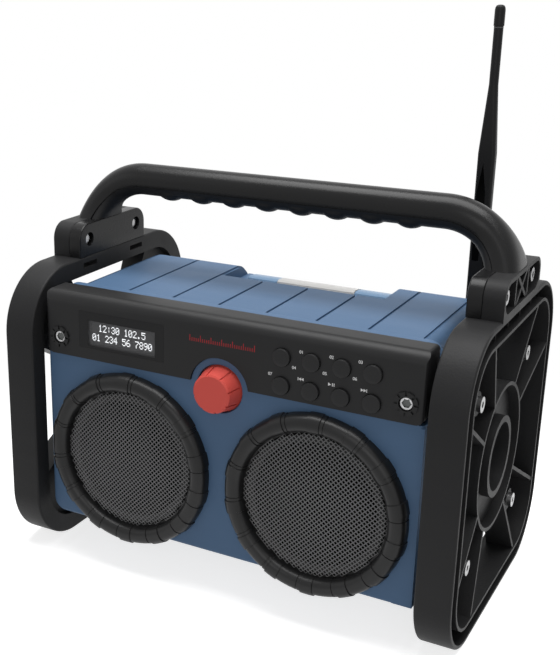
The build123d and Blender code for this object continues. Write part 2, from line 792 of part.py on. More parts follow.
def panel_screws():
    """Two socket screws that hold the panel to the front housing."""
    screws = []
    for side in (-1, 1):
        x = side * panel_screw_x
        head = panel_front + 0.2
        screw = rod_y(panel_screw_radius, x, (head, panel_front + 3.0), panel_screw_z)
        socket = extrude(front_plane(head + 1.8) * Pos(x, panel_screw_z) * RegularPolygon(panel_screw_socket, 6), 3)
        screw -= socket
        screw += rod_y(1.8 - fit, x, (panel_front + 2.9, panel_rear + 1.4), panel_screw_z)
        screws.append(screw)
    return Compound(children=screws)


def display_window():
    """The clear window, seated on the ledge round the panel's opening."""
    return display_opening(display_width, display_height, (panel_front, panel_front + 1.8))


board_front = panel_back_face + 0.3 + button_flange + button_travel + 0.3 + switch_depth
board_back = board_front + board_thickness


def display_module():
    """The display itself, on the control board behind the window."""
    return display_opening(display_width - 6, display_height - 5, (panel_front + 2.2, board_front))


def control_board():
    """The circuit board behind the panel, with a cut-out for the knob's encoder."""
    low = panel_bottom + panel_wall + 1.0
    high = panel_top - panel_wall - 1.5
    board = block((-board_half, board_half), (board_front, board_back), (low, high))
    board -= rod_y(knob_opening + 3, 0, (board_front - 1, board_back + 1), knob_z)
    return board


def board_spacers():
    """Posts between the board and the panel."""
    posts = []
    for x in (2.6 - board_half, -36, 34, board_half - 2.6):
        posts.append(rod_y(2.4, x, (panel_back_face, board_front), 193.5))
    return posts


def tact_switches():
    """The eight switches on the board, each with a bore for the stem of its button."""
    switches = []
    for x, z in button_places():
        half = switch_size / 2
        body = block((x - half, x + half), (board_front - switch_depth, board_front), (z - half, z + half))
        body -= rod_y(stem_radius + 0.15, x, (board_front - switch_depth - 1, board_front - 0.4), z)
        switches.append(body)
    return Compound(children=switches)


def push_button(x, z):
    """One button: a domed cap, a flange that keeps it behind the panel, and a stem."""
    flange_front = panel_back_face + 0.3
    cap = rod_y(button_radius, x, (panel_front - button_proud, flange_front + 0.5), z)
    cap = chamfer(cap.faces().sort_by(Axis.Y)[0].edges(), 0.4)
    cap += rod_y(button_radius + 0.9, x, (flange_front, flange_front + button_flange), z)
    tip = board_front - switch_depth + switch_gap
    return cap + rod_y(stem_radius, x, (flange_front, tip), z)


# ---------------------------------------------------------------- tuning knob
def tuning_knob():
    """The tapered knob, with straight grooves down its side."""
    depth = knob_length
    rim = 0.9
    skirt = 2.0
    run = depth - rim - skirt
    profile = [(0, 0), (knob_face_radius - 1.2, 0), (knob_face_radius, rim),
               (knob_base_radius - 0.6, depth - skirt), (knob_base_radius, depth - 1.2),
               (knob_base_radius, depth), (0, depth)]
    knob = turned_y(profile, 0, knob_front, knob_z)
    flare = knob_base_radius - 0.6 - knob_face_radius
    lean = degrees(atan2(flare, run))
    length = (flare ** 2 + run ** 2) ** 0.5
    half = knob_groove_width / 2
    cut = Pos(0, rim, knob_face_radius) * Rot(lean, 0, 0) * block(
        (-half, half), (-3.0, length - 0.8), (-knob_groove_depth, 2.0))
    for index in range(knob_grooves):
        turn = 90 - knob_first_groove - index * 360 / knob_grooves
        knob -= Pos(0, knob_front, knob_z) * Rot(0, turn, 0) * cut
    return knob - rod_y(shaft_radius + fit, 0, (knob_front + 4, knob_back + 1), knob_z)


def encoder_shaft():
    """The shaft that carries the knob and runs in the encoder's bush."""
    return rod_y(shaft_radius, 0, (knob_front + 4, encoder_front + 6), knob_z)


def encoder_body():
    """The encoder: a housing behind the baffle with a threaded neck through it."""
    half = encoder_size / 2
    body = block((-half, half), (encoder_front, encoder_front + 9), (knob_z - half, knob_z + half))
    body += rod_y(bush_radius, 0, (knob_floor - 0.6, encoder_front + 0.5), knob_z)
    body -= rod_y(shaft_radius + fit, 0, (knob_floor - 1, encoder_front + 7.5), knob_z)
    return body


# ---------------------------------------------------------------- loudspeakers
def ring_profile(grow):
    """The section of a bumper ring, grown outwards and forwards."""
    rise = ring_rise + grow
    outer = ring_outer + grow
    mid = (ring_outer + ring_inner) / 2
    return [(ring_inner, 0), (ring_inner, -rise * 0.42), (ring_inner + 2.4, -rise * 0.8),
            (mid - 1.5, -rise), (mid + 2.5, -rise * 0.97), (outer - 2.6, -rise * 0.72),
            (outer - 0.4, -rise * 0.36), (outer, 0)]


def speaker_ring(x):
    """A rubber bumper ring with raised cross bands, like a small tyre."""
    ring = turned_y(ring_profile(0), x, front_y, speaker_z)
    foot = [(ring_inner - ring_foot, 0), (ring_inner - ring_foot, -ring_foot_height),
            (ring_inner + 1, -ring_foot_height), (ring_inner + 1, 0)]
    ring += turned_y(foot, x, front_y, speaker_z)
    band = turned_y(ring_profile(ring_band_rise), 0, 0, 0, ring_band_angle)
    bands = []
    for index in range(ring_bands):
        turn = -90 - ring_band_angle / 2 + index * 360 / ring_bands
        bands.append(Pos(x, front_y, speaker_z) * Rot(0, turn, 0) * band)
    return ring.fuse(*bands)


def speaker_grille(x):
    """The dished metal grille inside a ring."""
    edge = grille_edge
    dome = grille_dome
    thick = grille_thickness
    profile = [(0, 0), (edge * 0.55, 0.4 * dome), (edge - 2, dome), (edge, dome), (edge, grille_rise + 0.6),
               (edge - thick, grille_rise + 0.6), (edge - thick, dome + thick), (edge - 2.4, dome + thick),
               (edge * 0.55, 0.4 * dome + thick), (0, thick)]
    lift = front_y - grille_rise - 0.6
    dish = turned_y(profile, x, lift, speaker_z)
    count = int(edge / grille_hole_pitch)
    for row in range(-count, count + 1):
        for col in range(-count, count + 1):
            away = ((row ** 2 + col ** 2) ** 0.5) * grille_hole_pitch
            if away < edge - 6:
                half = grille_hole / 2
                dish -= block((x + col * grille_hole_pitch - half, x + col * grille_hole_pitch + half),
                              (lift - 1, lift + dome + thick + 1),
                              (speaker_z + row * grille_hole_pitch - half,
                               speaker_z + row * grille_hole_pitch + half))
    return dish


def speaker_basket(x):
    """The pressed basket of a loudspeaker, clamped behind the baffle."""
    base = front_y + wall
    rim = speaker_hole + 4
    throat = basket_throat
    t = basket_wall
    profile = [(rim, 0), (rim, t), (speaker_hole - 2, t), (throat + t, basket_depth), (throat - 8, basket_depth),
               (throat - 8, basket_depth - t), (throat, basket_depth - t), (speaker_hole - 2 - t, 0)]
    return turned_y(profile, x, base, speaker_z)


def speaker_cone(x):
    """The paper cone with its roll surround and dust cap."""
    base = front_y + wall
    t = 1.0
    seat = speaker_hole - 2 - basket_wall
    outer = seat - t * (seat - basket_throat) / (basket_depth - basket_wall)
    deep = basket_depth - 8
    profile = [(outer, 0.0), (outer, t), (outer - 4, t + 0.6), (12, deep), (9, deep), (9, deep - 3), (0, deep - 5),
               (0, deep - 6), (8, deep - 5), (11, deep - t - 2), (outer - 6, -0.6), (outer - 3, -0.9)]
    return turned_y(profile, x, base, speaker_z)


def speaker_magnet(x):
    """The magnet and its back plate."""
    start = front_y + wall + basket_depth
    ring = rod_y(magnet_radius, x, (start, start + magnet_depth), speaker_z)
    return ring - rod_y(6, x, (start - 1, start + magnet_depth - 4), speaker_z)


# ---------------------------------------------------------------- back
battery_back = cabinet_rear + battery_reach
hinge_y = battery_back - hinge_y_set
hinge_z = battery_bottom - hinge_drop


def battery_face(inset):
    """The back view of the battery box."""
    width = 2 * (battery_half - inset)
    height = battery_top - battery_bottom - 2 * inset
    return Pos(0, (battery_top + battery_bottom) / 2) * RectangleRounded(width, height, battery_corner - inset)


def battery_box():
    """The tub on the cabinet's back that holds the battery, with the ears of the door's hinge."""
    box = extrude(front_plane(battery_back) * battery_face(0), battery_reach)
    box -= extrude(front_plane(battery_back + 1) * battery_face(battery_wall), battery_reach + 1 - battery_wall)
    for side in (-1, 1):
        x = (side * hinge_ear_x, side * (hinge_ear_x + hinge_ear_width))
        ear = block(x, (hinge_y - hinge_barrel, hinge_y + hinge_barrel - 1.5), (hinge_z, battery_bottom + 1))
        ear += rod_x(hinge_barrel - 1.5, x, hinge_y, hinge_z)
        box += ear
        box -= rod_x(hinge_pin_radius + fit, x, hinge_y, hinge_z)
    return box


def battery_pack():
    """The block of cells inside the tub."""
    gap = 0.3
    width = 2 * (battery_half - battery_corner - 0.5)
    low = battery_bottom + battery_wall
    pack = block((-width / 2, width / 2), (cabinet_rear + battery_wall, battery_back - gap),
                 (low, battery_top - battery_wall - 3))
    return fillet(pack.edges().filter_by(Axis.X), 3.0)


def battery_door():
    """The hinged door of the battery box."""
    near = battery_back + door_gap
    door = extrude(front_plane(near + door_thickness) * battery_face(0), door_thickness)
    lip = extrude(front_plane(near + 0.5) * (battery_face(battery_wall + 0.4) - battery_face(battery_wall + 2.4)), 3.0)
    top_cut = block((-battery_half, battery_half), (near - 4, near), (battery_bottom, battery_bottom + 14))
    door += lip - top_cut - block((-battery_half, battery_half), (near - 6, near - 0.2), (battery_bottom, 110))
    for side in (-1, 1):
        x = (side * (hinge_ear_x - 0.4), side * (hinge_ear_x - 0.4 - hinge_ear_width))
        arm = block(x, (near, near + door_thickness), (hinge_z, battery_bottom + 6))
        arm += block(x, (hinge_y, near + door_thickness), (hinge_z - 2.4, hinge_z + 2.4))
        arm += rod_x(2.4 + 0.6, x, hinge_y, hinge_z)
        door += arm
        door -= rod_x(hinge_pin_radius + fit, x, hinge_y, hinge_z)
    face = near + door_thickness
    for index in range(door_ribs):
        x = (index - (door_ribs - 1) / 2) * door_rib_pitch
        door += block((x - 1.5, x + 1.5), (face - 0.5, face + door_rib_rise),
                      (battery_bottom + 14, battery_top - 26))
    door -= block((-18, 18), (face - 1.4, face + 1), (battery_top - 18, battery_top - 5))
    for rise in (-15, -11.5, -8):
        door += block((-10, 10), (face - 1.6, face + 0.4), (battery_top + rise - 0.8, battery_top + rise + 0.8))
    return door


def hinge_pins():
    """The two pins of the battery door."""
    pins = []
    for side in (-1, 1):
        x = (side * (hinge_ear_x - hinge_ear_width), side * (hinge_ear_x + hinge_ear_width))
        pins.append(rod_x(hinge_pin_radius, x, hinge_y, hinge_z))
    return Compound(children=pins)


flap_front = cabinet_rear + 0.3
flap_low = socket_z - socket_height / 2 - 3
flap_high = socket_z + socket_height / 2 + 3
flap_hinge_y = cabinet_rear + 0.2 + flap_barrel
flap_hinge_z = flap_low - 2.2


def socket_plate():
    """The plate behind the flap that carries the sockets."""
    half = socket_width / 2
    plate = block((socket_x - half + 0.1, socket_x + half - 0.1), (cabinet_rear - wall, cabinet_rear - 1.0),
                  (socket_z - socket_height / 2 + 0.1, socket_z + socket_height / 2 - 0.1))
    for place in (-1, 0, 1):
        plate -= rod_y(4.0, socket_x + place * 14, (cabinet_rear - wall - 1, cabinet_rear), socket_z)
    half_x = (socket_x - half - 0.5, socket_x + half + 0.5)
    plate += block(half_x, (cabinet_rear - wall - 2.0, cabinet_rear - wall),
                   (socket_z - socket_height / 2 - 2, socket_z + socket_height / 2 + 2)) - block(
                       (socket_x - half + 4, socket_x + half - 4), (0, cabinet_rear), (0, 200))
    return plate


def round_socket(place):
    """One of the round sockets in the plate."""
    x = socket_x + place * 14
    body = rod_y(4.0 - 0.05, x, (cabinet_rear - wall - 9, cabinet_rear - 0.9), socket_z)
    bore = rod_y(2.2, x, (cabinet_rear - wall - 7, cabinet_rear), socket_z)
    return body - bore


def socket_flap():
    """The rubber flap over the sockets, with its hinge bead and a pull tab."""
    half = socket_width / 2 + 2
    flap = block((socket_x - half, socket_x + half), (flap_front, flap_front + flap_thickness),
                 (flap_low, flap_high))
    flap = fillet(flap.edges().filter_by(Axis.Y), 3.0)
    flap += block((socket_x - 16, socket_x + 16), (flap_hinge_y - 0.8, flap_hinge_y + 0.8),
                  (flap_hinge_z, flap_low + 1))
    flap += rod_x(flap_barrel, (socket_x - 16, socket_x + 16), flap_hinge_y, flap_hinge_z)
    flap += rod_x(flap_pin, (socket_x - 19, socket_x + 19), flap_hinge_y, flap_hinge_z)
    return flap


def flap_keeper():
    """Two clips on the cabinet's back that hold the flap's hinge bead."""
    clips = []
    for side in (-1, 1):
        x = (socket_x + side * 16.3, socket_x + side * 20)
        clip = block(x, (cabinet_rear - 0.5, flap_hinge_y), (flap_hinge_z - 2.0, flap_hinge_z + 1.2))
        clip += rod_x(2.0, x, flap_hinge_y, flap_hinge_z)
        clips.append(clip - rod_x(flap_pin + fit, x, flap_hinge_y, flap_hinge_z))
    return clips


def antenna_mount():
    """The bracket on the cabinet's back that the antenna stands in."""
    top = mount_top
    low = top - mount_height
    socket = rod_z(mount_radius, antenna_x, antenna_y, (low, top))
    arm = block((antenna_x - 6, antenna_x + 6), (cabinet_rear, antenna_y), (low, top - 4))
    plate = block((antenna_x - 9, antenna_x + 9), (cabinet_rear, cabinet_rear + 4), (low - 8, top + 4))
    plate = fillet(plate.edges().filter_by(Axis.Y), 4.0)
    return socket + arm + plate - rod_z(post_radius + fit, antenna_x, antenna_y, (top - 14, top + 1))


def antenna_swivel():
    """The turning base of the antenna: a post, a collar and the tongue of the tilt hinge."""
    top = mount_top
    base = rod_z(post_radius, antenna_x, antenna_y, (top - 13, top + 1))
    collar = rod_z(mount_radius - 1.5, antenna_x, antenna_y, (top + 0.1, top + 6))
    half = tongue_thickness / 2
    tongue = block((antenna_x - 4.5, antenna_x + 4.5), (antenna_y - half, antenna_y + half),
                   (top + 5, antenna_pivot_z))
    tongue += rod_y(4.5, antenna_x, (antenna_y - half, antenna_y + half), antenna_pivot_z)
    swivel = base + collar + tongue
    return swivel - rod_y(pivot_pin_radius, antenna_x, (antenna_y - 6, antenna_y + 6), antenna_pivot_z)


def antenna_pin():
    """The pin of the tilt hinge."""
    half = antenna_blade_depth / 2
    return rod_y(pivot_pin_radius, antenna_x, (antenna_y - half, antenna_y + half), antenna_pivot_z)


def antenna_mast():
    """The flexible antenna: a flat blade that draws in to a slim rod with a round tip."""
    width = antenna_blade_width
    depth = antenna_blade_depth
    spot = (antenna_x, antenna_y)
    blade_face = Plane(origin=(*spot, antenna_pivot_z)) * RectangleRounded(width, depth, 2.4)
    blade = extrude(blade_face, antenna_blade_top - antenna_pivot_z)
    low = Plane(origin=(*spot, antenna_blade_top)) * RectangleRounded(width, depth, 2.4)
    small = 2 * antenna_rod_radius
    high = Plane(origin=(*spot, antenna_taper_top)) * RectangleRounded(small, small, antenna_rod_radius - 0.05)
    taper = loft([low, high])
    rod = rod_z(antenna_rod_radius, *spot, (antenna_taper_top, antenna_top - antenna_rod_radius))
    tip = Pos(*spot, antenna_top - antenna_rod_radius) * Sphere(antenna_rod_radius)
    heel = rod_y(width / 2, antenna_x, (antenna_y - depth / 2, antenna_y + depth / 2), antenna_pivot_z)
    mast = blade.fuse(taper, rod, tip, heel)
    half = tongue_thickness / 2 + 0.2
    mast -= block((antenna_x - 8, antenna_x + 8), (antenna_y - half, antenna_y + half),
                  (antenna_pivot_z - 8, antenna_pivot_z + 8))
    mast -= rod_y(pivot_pin_radius + fit, antenna_x, (antenna_y - 6, antenna_y + 6), antenna_pivot_z)
    drop = Plane(origin=(antenna_x, antenna_y - depth / 2 + 1.6, 0), x_dir=(1, 0, 0), z_dir=(0, -1, 0))
    recess = Polygon((0, 294), (3.2, 272), (3.6, 250), (2.4, 222), (-2.4, 222), (-3.6, 250), (-3.2, 272), align=None)
    return mast - extrude(drop * recess, 4)


# ---------------------------------------------------------------- inside
def main_board():
    """The amplifier and receiver board, on posts from the cabinet's floor."""
    low = cabinet_bottom + wall
    board = block((-60, 60), (-20, 40), (low + 6, low + 6 + board_thickness))
    for x in (-54, 54):
        for y in (-14, 34):
            board += rod_z(3, x, y, (low, low + 6))
    return board


def heat_sink():
    """The finned heat sink of the amplifier."""
    low = cabinet_bottom + wall + 6 + board_thickness
    sink = block((-20, 20), (0, 30), (low, low + 4))
    for index in range(6):
        x = -18 + index * 7.2
        sink += block((x - 0.8, x + 0.8), (0, 30), (low + 3, low + 18))
    return sink


# ---------------------------------------------------------------- write the pieces
def write(name, piece):
    """Write one piece, or one group of like pieces, to its own file."""
    export_step(piece, f"parts/{name}.step")


right_frame = end_frame()
write("right_end_frame", right_frame)
write("left_end_frame", mirrored(right_frame))
screws = frame_screws()
write("right_frame_screws", screws)
write("left_frame_screws", mirrored(screws))
clamp = handle_clamp()
write("right_handle_clamp", clamp)
write("left_handle_clamp", mirrored(clamp))
bolts = clamp_bolts()
write("right_clamp_bolts", bolts)
write("left_clamp_bolts", mirrored(bolts))

handle_outer, handle_grip = handle_shells()
write("handle_outer_shell", handle_outer)
write("handle_grip_shell", handle_grip)

write("front_housing", front_housing())
cabinet = cabinet_shell().fuse(*flap_keeper())
write("cabinet_shell", cabinet)
write("front_gasket", front_gasket())
write("lamp_bezel", lamp_bezel())
write("lamp_lens", lamp_lens())

write("control_panel", control_panel())
write("panel_screws", panel_screws())
write("display_window", display_window())
write("display_module", display_module())
write("control_board", control_board().fuse(*board_spacers()))
write("tact_switches", tact_switches())
for number, (x, z) in enumerate(button_places(), start=1):
    write(f"button_{number}", push_button(x, z))
write("tuning_knob", tuning_knob())
write("encoder_shaft", encoder_shaft())
write("encoder_body", encoder_body())

for side, name in ((-1, "left"), (1, "right")):
    write(f"{name}_speaker_ring", speaker_ring(side * speaker_x))
    write(f"{name}_speaker_grille", speaker_grille(side * speaker_x))
    write(f"{name}_speaker_basket", speaker_basket(side * speaker_x))
    write(f"{name}_speaker_cone", speaker_cone(side * speaker_x))
    write(f"{name}_speaker_magnet", speaker_magnet(side * speaker_x))

write("battery_box", battery_box())
write("battery_pack", battery_pack())
write("battery_door", battery_door())
write("door_hinge_pins", hinge_pins())
write("socket_plate", socket_plate())
write("round_sockets", Compound(children=[round_socket(place) for place in (-1, 0, 1)]))
write("socket_flap", socket_flap())
write("antenna_mount", antenna_mount())
write("antenna_swivel", antenna_swivel())
write("antenna_pin", antenna_pin())
write("antenna_mast", antenna_mast())
write("main_board", main_board())
write("heat_sink", heat_sink())
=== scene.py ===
"""Studio scene of a jobsite radio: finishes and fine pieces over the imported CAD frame."""

from __future__ import annotations

import json
import logging
import math
from dataclasses import dataclass, field
from enum import Enum
from functools import partial
from typing import Callable, Sequence

import bmesh
import bpy
from mathutils import Matrix, Vector

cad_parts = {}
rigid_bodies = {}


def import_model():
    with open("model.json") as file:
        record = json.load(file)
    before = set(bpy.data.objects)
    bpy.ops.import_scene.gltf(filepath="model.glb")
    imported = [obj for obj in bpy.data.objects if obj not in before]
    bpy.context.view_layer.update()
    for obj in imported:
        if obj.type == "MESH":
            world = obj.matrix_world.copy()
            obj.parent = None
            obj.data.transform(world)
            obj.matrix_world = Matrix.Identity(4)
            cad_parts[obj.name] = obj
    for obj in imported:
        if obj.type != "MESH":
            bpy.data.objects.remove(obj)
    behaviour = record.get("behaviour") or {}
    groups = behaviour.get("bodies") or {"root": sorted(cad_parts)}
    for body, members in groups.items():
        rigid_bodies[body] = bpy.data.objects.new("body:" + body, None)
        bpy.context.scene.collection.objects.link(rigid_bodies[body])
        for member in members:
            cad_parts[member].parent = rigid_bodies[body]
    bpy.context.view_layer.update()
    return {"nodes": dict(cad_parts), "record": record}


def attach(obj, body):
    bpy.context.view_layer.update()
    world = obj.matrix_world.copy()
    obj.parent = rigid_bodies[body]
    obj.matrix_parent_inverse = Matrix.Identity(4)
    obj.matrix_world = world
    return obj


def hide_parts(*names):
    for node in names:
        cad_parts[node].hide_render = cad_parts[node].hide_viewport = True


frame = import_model()

log = logging.getLogger("jobsite_radio")

# The classes below hold their sizes in millimetres, and the meshes are in metres.
MM = 0.001
# Signs of a square's corners, anticlockwise from the lower left one.
CORNERS = ((-1, -1), (1, -1), (1, 1), (-1, 1))

Tree = bpy.types.NodeTree
Socket = bpy.types.NodeSocket
Piece = bpy.types.Object
Work = bmesh.types.BMesh
Point = tuple[float, float]
Spot = tuple[float, float, float]
Recipe = Callable[[Work], None]


class Side(Enum):
    """The two ends of the radio, as the sign of X."""

    LEFT = -1
    RIGHT = 1

    @property
    def word(self) -> str:
        """The side's name in lower case, as the nodes use it."""
        return self.name.lower()


# --------------------------------------------------------------------------- node helpers
def add_node(tree: Tree, kind: str, **values: object) -> bpy.types.Node:
    """Adds a node to a tree.

    Args:
        tree: the shader or geometry tree.
        kind: the node's type name.
        values: attributes to set on the node before its sockets are used.

    Returns:
        The new node.
    """
    node = tree.nodes.new(kind)
    for name, value in values.items():
        setattr(node, name, value)
    return node


def feed(node: bpy.types.Node, **values: object) -> bpy.types.Node:
    """Sets input defaults by name, with underscores for spaces.

    Args:
        node: the node whose inputs are set.
        values: input name to value.

    Returns:
        The same node.
    """
    for name, value in values.items():
        node.inputs[name.replace("_", " ")].default_value = value
    return node


def math_node(tree: Tree, operation: str, first: object, second: object = 0.0,
              clamp: bool = False) -> Socket:
    """Adds a Math node whose inputs are sockets or numbers.

    Args:
        tree: the tree.
        operation: the Math node's operation.
        first: socket or number for the first input.
        second: socket or number for the second input.
        clamp: whether the result is held between 0 and 1.

    Returns:
        The output socket.
    """
    node = add_node(tree, "ShaderNodeMath", operation=operation, use_clamp=clamp)
    for index, value in enumerate((first, second)):
        if isinstance(value, Socket):
            tree.links.new(value, node.inputs[index])
        else:
            node.inputs[index].default_value = float(value)
    return node.outputs[0]


def new_group(name: str, inputs: Sequence[tuple[str, str, float]],
              outputs: Sequence[tuple[str, str]]) -> Tree:
    """Makes an empty shader node group.

    Args:
        name: the group's name.
        inputs: (name, socket type, default) of each input.
        outputs: (name, socket type) of each output.

    Returns:
        The group's tree.
    """
    tree = bpy.data.node_groups.new(name, "ShaderNodeTree")
    for label, kind, value in inputs:
        socket = tree.interface.new_socket(label, in_out="INPUT", socket_type=kind)
        if kind != "NodeSocketVector":
            socket.default_value = value
    for label, kind in outputs:
        tree.interface.new_socket(label, in_out="OUTPUT", socket_type=kind)
    return tree


# --------------------------------------------------------------------------- shared effects
class Effects:
    """The shader node groups that more than one finish uses, each built once."""

    CELL_SCALE = 0.6
    CELL_SHARE = 0.5
    STREAK_STRETCH = (0.35, 1.0, 1.6)
    MIDDLE_MARK = 0.25
    _built: dict[str, Tree] = {}

    @classmethod
    def get(cls, name: str) -> Tree:
        """Gives the named effect, and builds it on first use.

        Args:
            name: the effect's name, as its method has it after the underscore.

        Returns:
            The effect's tree.
        """
        if name not in cls._built:
            cls._built[name] = getattr(cls, "_" + name)()
        return cls._built[name]

    @classmethod
    def _moulded_grain(cls) -> Tree:
        """Fine spark-eroded texture of moulded plastic.

        Returns:
            A group that gives a height and a slow tone from object coordinates.
        """
        tree = new_group(
            "moulded_grain",
            [("Vector", "NodeSocketVector", 0.0), ("Size", "NodeSocketFloat", 900.0)],
            [("Height", "NodeSocketFloat"), ("Tone", "NodeSocketFloat")],
        )
        inlet = add_node(tree, "NodeGroupInput")
        outlet = add_node(tree, "NodeGroupOutput")
        fine = feed(add_node(tree, "ShaderNodeTexNoise"), Detail=3.0, Roughness=0.6)
        cells = add_node(tree, "ShaderNodeTexVoronoi", feature="SMOOTH_F1")
        slow = feed(add_node(tree, "ShaderNodeTexNoise"), Scale=9.0, Detail=2.0, Roughness=0.5)
        for node in (fine, cells, slow):
            tree.links.new(inlet.outputs["Vector"], node.inputs["Vector"])
        tree.links.new(inlet.outputs["Size"], fine.inputs["Scale"])
        cell_size = math_node(tree, "MULTIPLY", inlet.outputs["Size"], cls.CELL_SCALE)
        tree.links.new(cell_size, cells.inputs["Scale"])
        cell_height = math_node(tree, "MULTIPLY", cells.outputs["Distance"], cls.CELL_SHARE)
        tree.links.new(math_node(tree, "ADD", fine.outputs["Fac"], cell_height), outlet.inputs["Height"])
        tree.links.new(slow.outputs["Fac"], outlet.inputs["Tone"])
        return tree

    @classmethod
    def _handling_marks(cls) -> Tree:
        """Faint smears and dust that vary the roughness of a handled surface.

        Returns:
            A group that gives a mask from object coordinates.
        """
        tree = new_group(
            "handling_marks",
            [("Vector", "NodeSocketVector", 0.0), ("Amount", "NodeSocketFloat", 0.3)],
            [("Mask", "NodeSocketFloat")],
        )
        inlet = add_node(tree, "NodeGroupInput")
        outlet = add_node(tree, "NodeGroupOutput")
        broad = feed(add_node(tree, "ShaderNodeTexNoise"), Scale=22.0, Detail=4.0, Roughness=0.62)
        streak = feed(add_node(tree, "ShaderNodeTexNoise"), Scale=60.0, Detail=2.0, Roughness=0.5)
        stretch = add_node(tree, "ShaderNodeMapping")
        stretch.inputs["Scale"].default_value = cls.STREAK_STRETCH
        tree.links.new(inlet.outputs["Vector"], broad.inputs["Vector"])
        tree.links.new(inlet.outputs["Vector"], stretch.inputs["Vector"])
        tree.links.new(stretch.outputs["Vector"], streak.inputs["Vector"])
        product = math_node(tree, "MULTIPLY", broad.outputs["Fac"], streak.outputs["Fac"])
        centred = math_node(tree, "SUBTRACT", product, cls.MIDDLE_MARK)
        mask = math_node(tree, "MULTIPLY", centred, inlet.outputs["Amount"])
        tree.links.new(mask, outlet.inputs["Mask"])
        return tree


# --------------------------------------------------------------------------- finishes
def new_material(name: str) -> tuple[bpy.types.Material, Tree]:
    """Makes a material with nodes.

    Args:
        name: the material's name.

    Returns:
        The material and its tree, which holds a Principled shader.
    """
    material = bpy.data.materials.new(name)
    material.use_nodes = True
    return material, material.node_tree


@dataclass(frozen=True)
class Finish:
    """One surface finish, as numbers for a Principled material.

    Attributes:
        name: the material's name.
        color: linear base colour.
        roughness: middle roughness.
        grain: height of the grain in metres, 0 for none.
        grain_size: noise scale of the grain.
        tone: how far the colour drifts over the surface.
        marks: strength of the handling marks in the roughness.
        metallic: 1 for bare metal.
        specular: specular level.
        glow: emission strength, 0 for none.
    """

    name: str
    color: tuple[float, float, float]
    roughness: float = 0.5
    grain: float = 0.0
    grain_size: float = 900.0
    tone: float = 0.06
    marks: float = 0.3
    metallic: float = 0.0
    specular: float = 0.5
    glow: float = 0.0

    def build(self) -> bpy.types.Material:
        """Builds the node material, once per name.

        Returns:
            The material.
        """
        found = bpy.data.materials.get(self.name)
        if found:
            return found
        material, tree = new_material(self.name)
        shader = tree.nodes["Principled BSDF"]
        shader.inputs["Base Color"].default_value = (*self.color, 1.0)
        shader.inputs["Roughness"].default_value = self.roughness
        shader.inputs["Metallic"].default_value = self.metallic
        shader.inputs["Specular IOR Level"].default_value = self.specular
        place = add_node(tree, "ShaderNodeTexCoord").outputs["Object"]
        self._add_tone(tree, shader, place)
        if self.glow:
            shader.inputs["Emission Color"].default_value = (*self.color, 1.0)
            shader.inputs["Emission Strength"].default_value = self.glow
        return material

    def _add_tone(self, tree: Tree, shader: bpy.types.Node,
                  place: Socket) -> None:
        """Adds colour drift, grain and handling marks.

        Args:
            tree: the material's tree.
            shader: its Principled node.
            place: the object coordinate socket.
        """
        grain = add_node(tree, "ShaderNodeGroup", node_tree=Effects.get("moulded_grain"))
        grain.inputs["Size"].default_value = self.grain_size
        tree.links.new(place, grain.inputs["Vector"])
        drift = add_node(tree, "ShaderNodeMapRange")
        drift.inputs["To Min"].default_value = 1.0 - self.tone
        drift.inputs["To Max"].default_value = 1.0 + self.tone
        tree.links.new(grain.outputs["Tone"], drift.inputs["Value"])
        tint = add_node(tree, "ShaderNodeVectorMath", operation="SCALE")
        tint.inputs[0].default_value = self.color
        tree.links.new(drift.outputs["Result"], tint.inputs["Scale"])
        tree.links.new(tint.outputs["Vector"], shader.inputs["Base Color"])
        marks = add_node(tree, "ShaderNodeGroup", node_tree=Effects.get("handling_marks"))
        marks.inputs["Amount"].default_value = self.marks
        tree.links.new(place, marks.inputs["Vector"])
        rough = math_node(tree, "ADD", marks.outputs["Mask"], self.roughness, clamp=True)
        tree.links.new(rough, shader.inputs["Roughness"])
        if self.grain:
            bump = add_node(tree, "ShaderNodeBump")
            bump.inputs["Strength"].default_value = 1.0
            bump.inputs["Distance"].default_value = self.grain
            tree.links.new(grain.outputs["Height"], bump.inputs["Height"])
            tree.links.new(bump.outputs["Normal"], shader.inputs["Normal"])


BLUE = Finish("housing_blue_plastic", (0.064, 0.119, 0.208), 0.5, 0.00006, 1100.0, 0.05, 0.25,
              specular=0.2)
BLACK = Finish("frame_black_plastic", (0.014, 0.014, 0.0145), 0.5, 0.00009, 800.0, 0.10, 0.3,
               specular=0.15)
HANDLE = Finish("handle_black_plastic", (0.006, 0.006, 0.0063), 0.27, 0.00004, 900.0, 0.10, 0.2,
                specular=0.21)
GRIP = Finish("grip_rubber_skin", (0.014, 0.014, 0.0145), 0.5, 0.00010, 600.0, 0.12, 0.25,
              specular=0.15)
PANEL = Finish("panel_black_plastic", (0.014, 0.014, 0.0145), 0.4, 0.00003, 1400.0, 0.05, 0.2,
               specular=0.18)
KEY = Finish("key_rubber_skin", (0.013, 0.013, 0.0135), 0.42, 0.00003, 1400.0, 0.05, 0.2, specular=0.2)
BUMPER = Finish("bumper_rubber_skin", (0.0085, 0.0085, 0.0088), 0.34, 0.00003, 700.0, 0.10, 0.2,
                specular=0.26)
MESH_GREY = Finish("grille_grey_paint", (0.165, 0.165, 0.167), 0.5, 0.0, 900.0, 0.08, 0.3,
                   specular=0.25)
# Painted shade: a cloth behind the grilles, coloured darker than any cloth so that the holes read as the
# shade inside.
CLOTH_SHADE_BLACK = Finish("deep_black_felt", (0.002, 0.002, 0.002), 0.95, 0.0001, 900.0, 0.1, 0.1, specular=0.02)
SILVER = Finish("screw_bright_steel", (0.46, 0.46, 0.465), 0.3, 0.00002, 1600.0, 0.05, 0.3,
                metallic=1.0)
RED = Finish("knob_red_plastic", (0.57, 0.074, 0.058), 0.5, 0.00002, 1300.0, 0.04, 0.2, specular=0.22)
SCREEN = Finish("display_grey", (0.105, 0.105, 0.108), 0.55, 0.0, 900.0, 0.06, 0.1, specular=0.1)
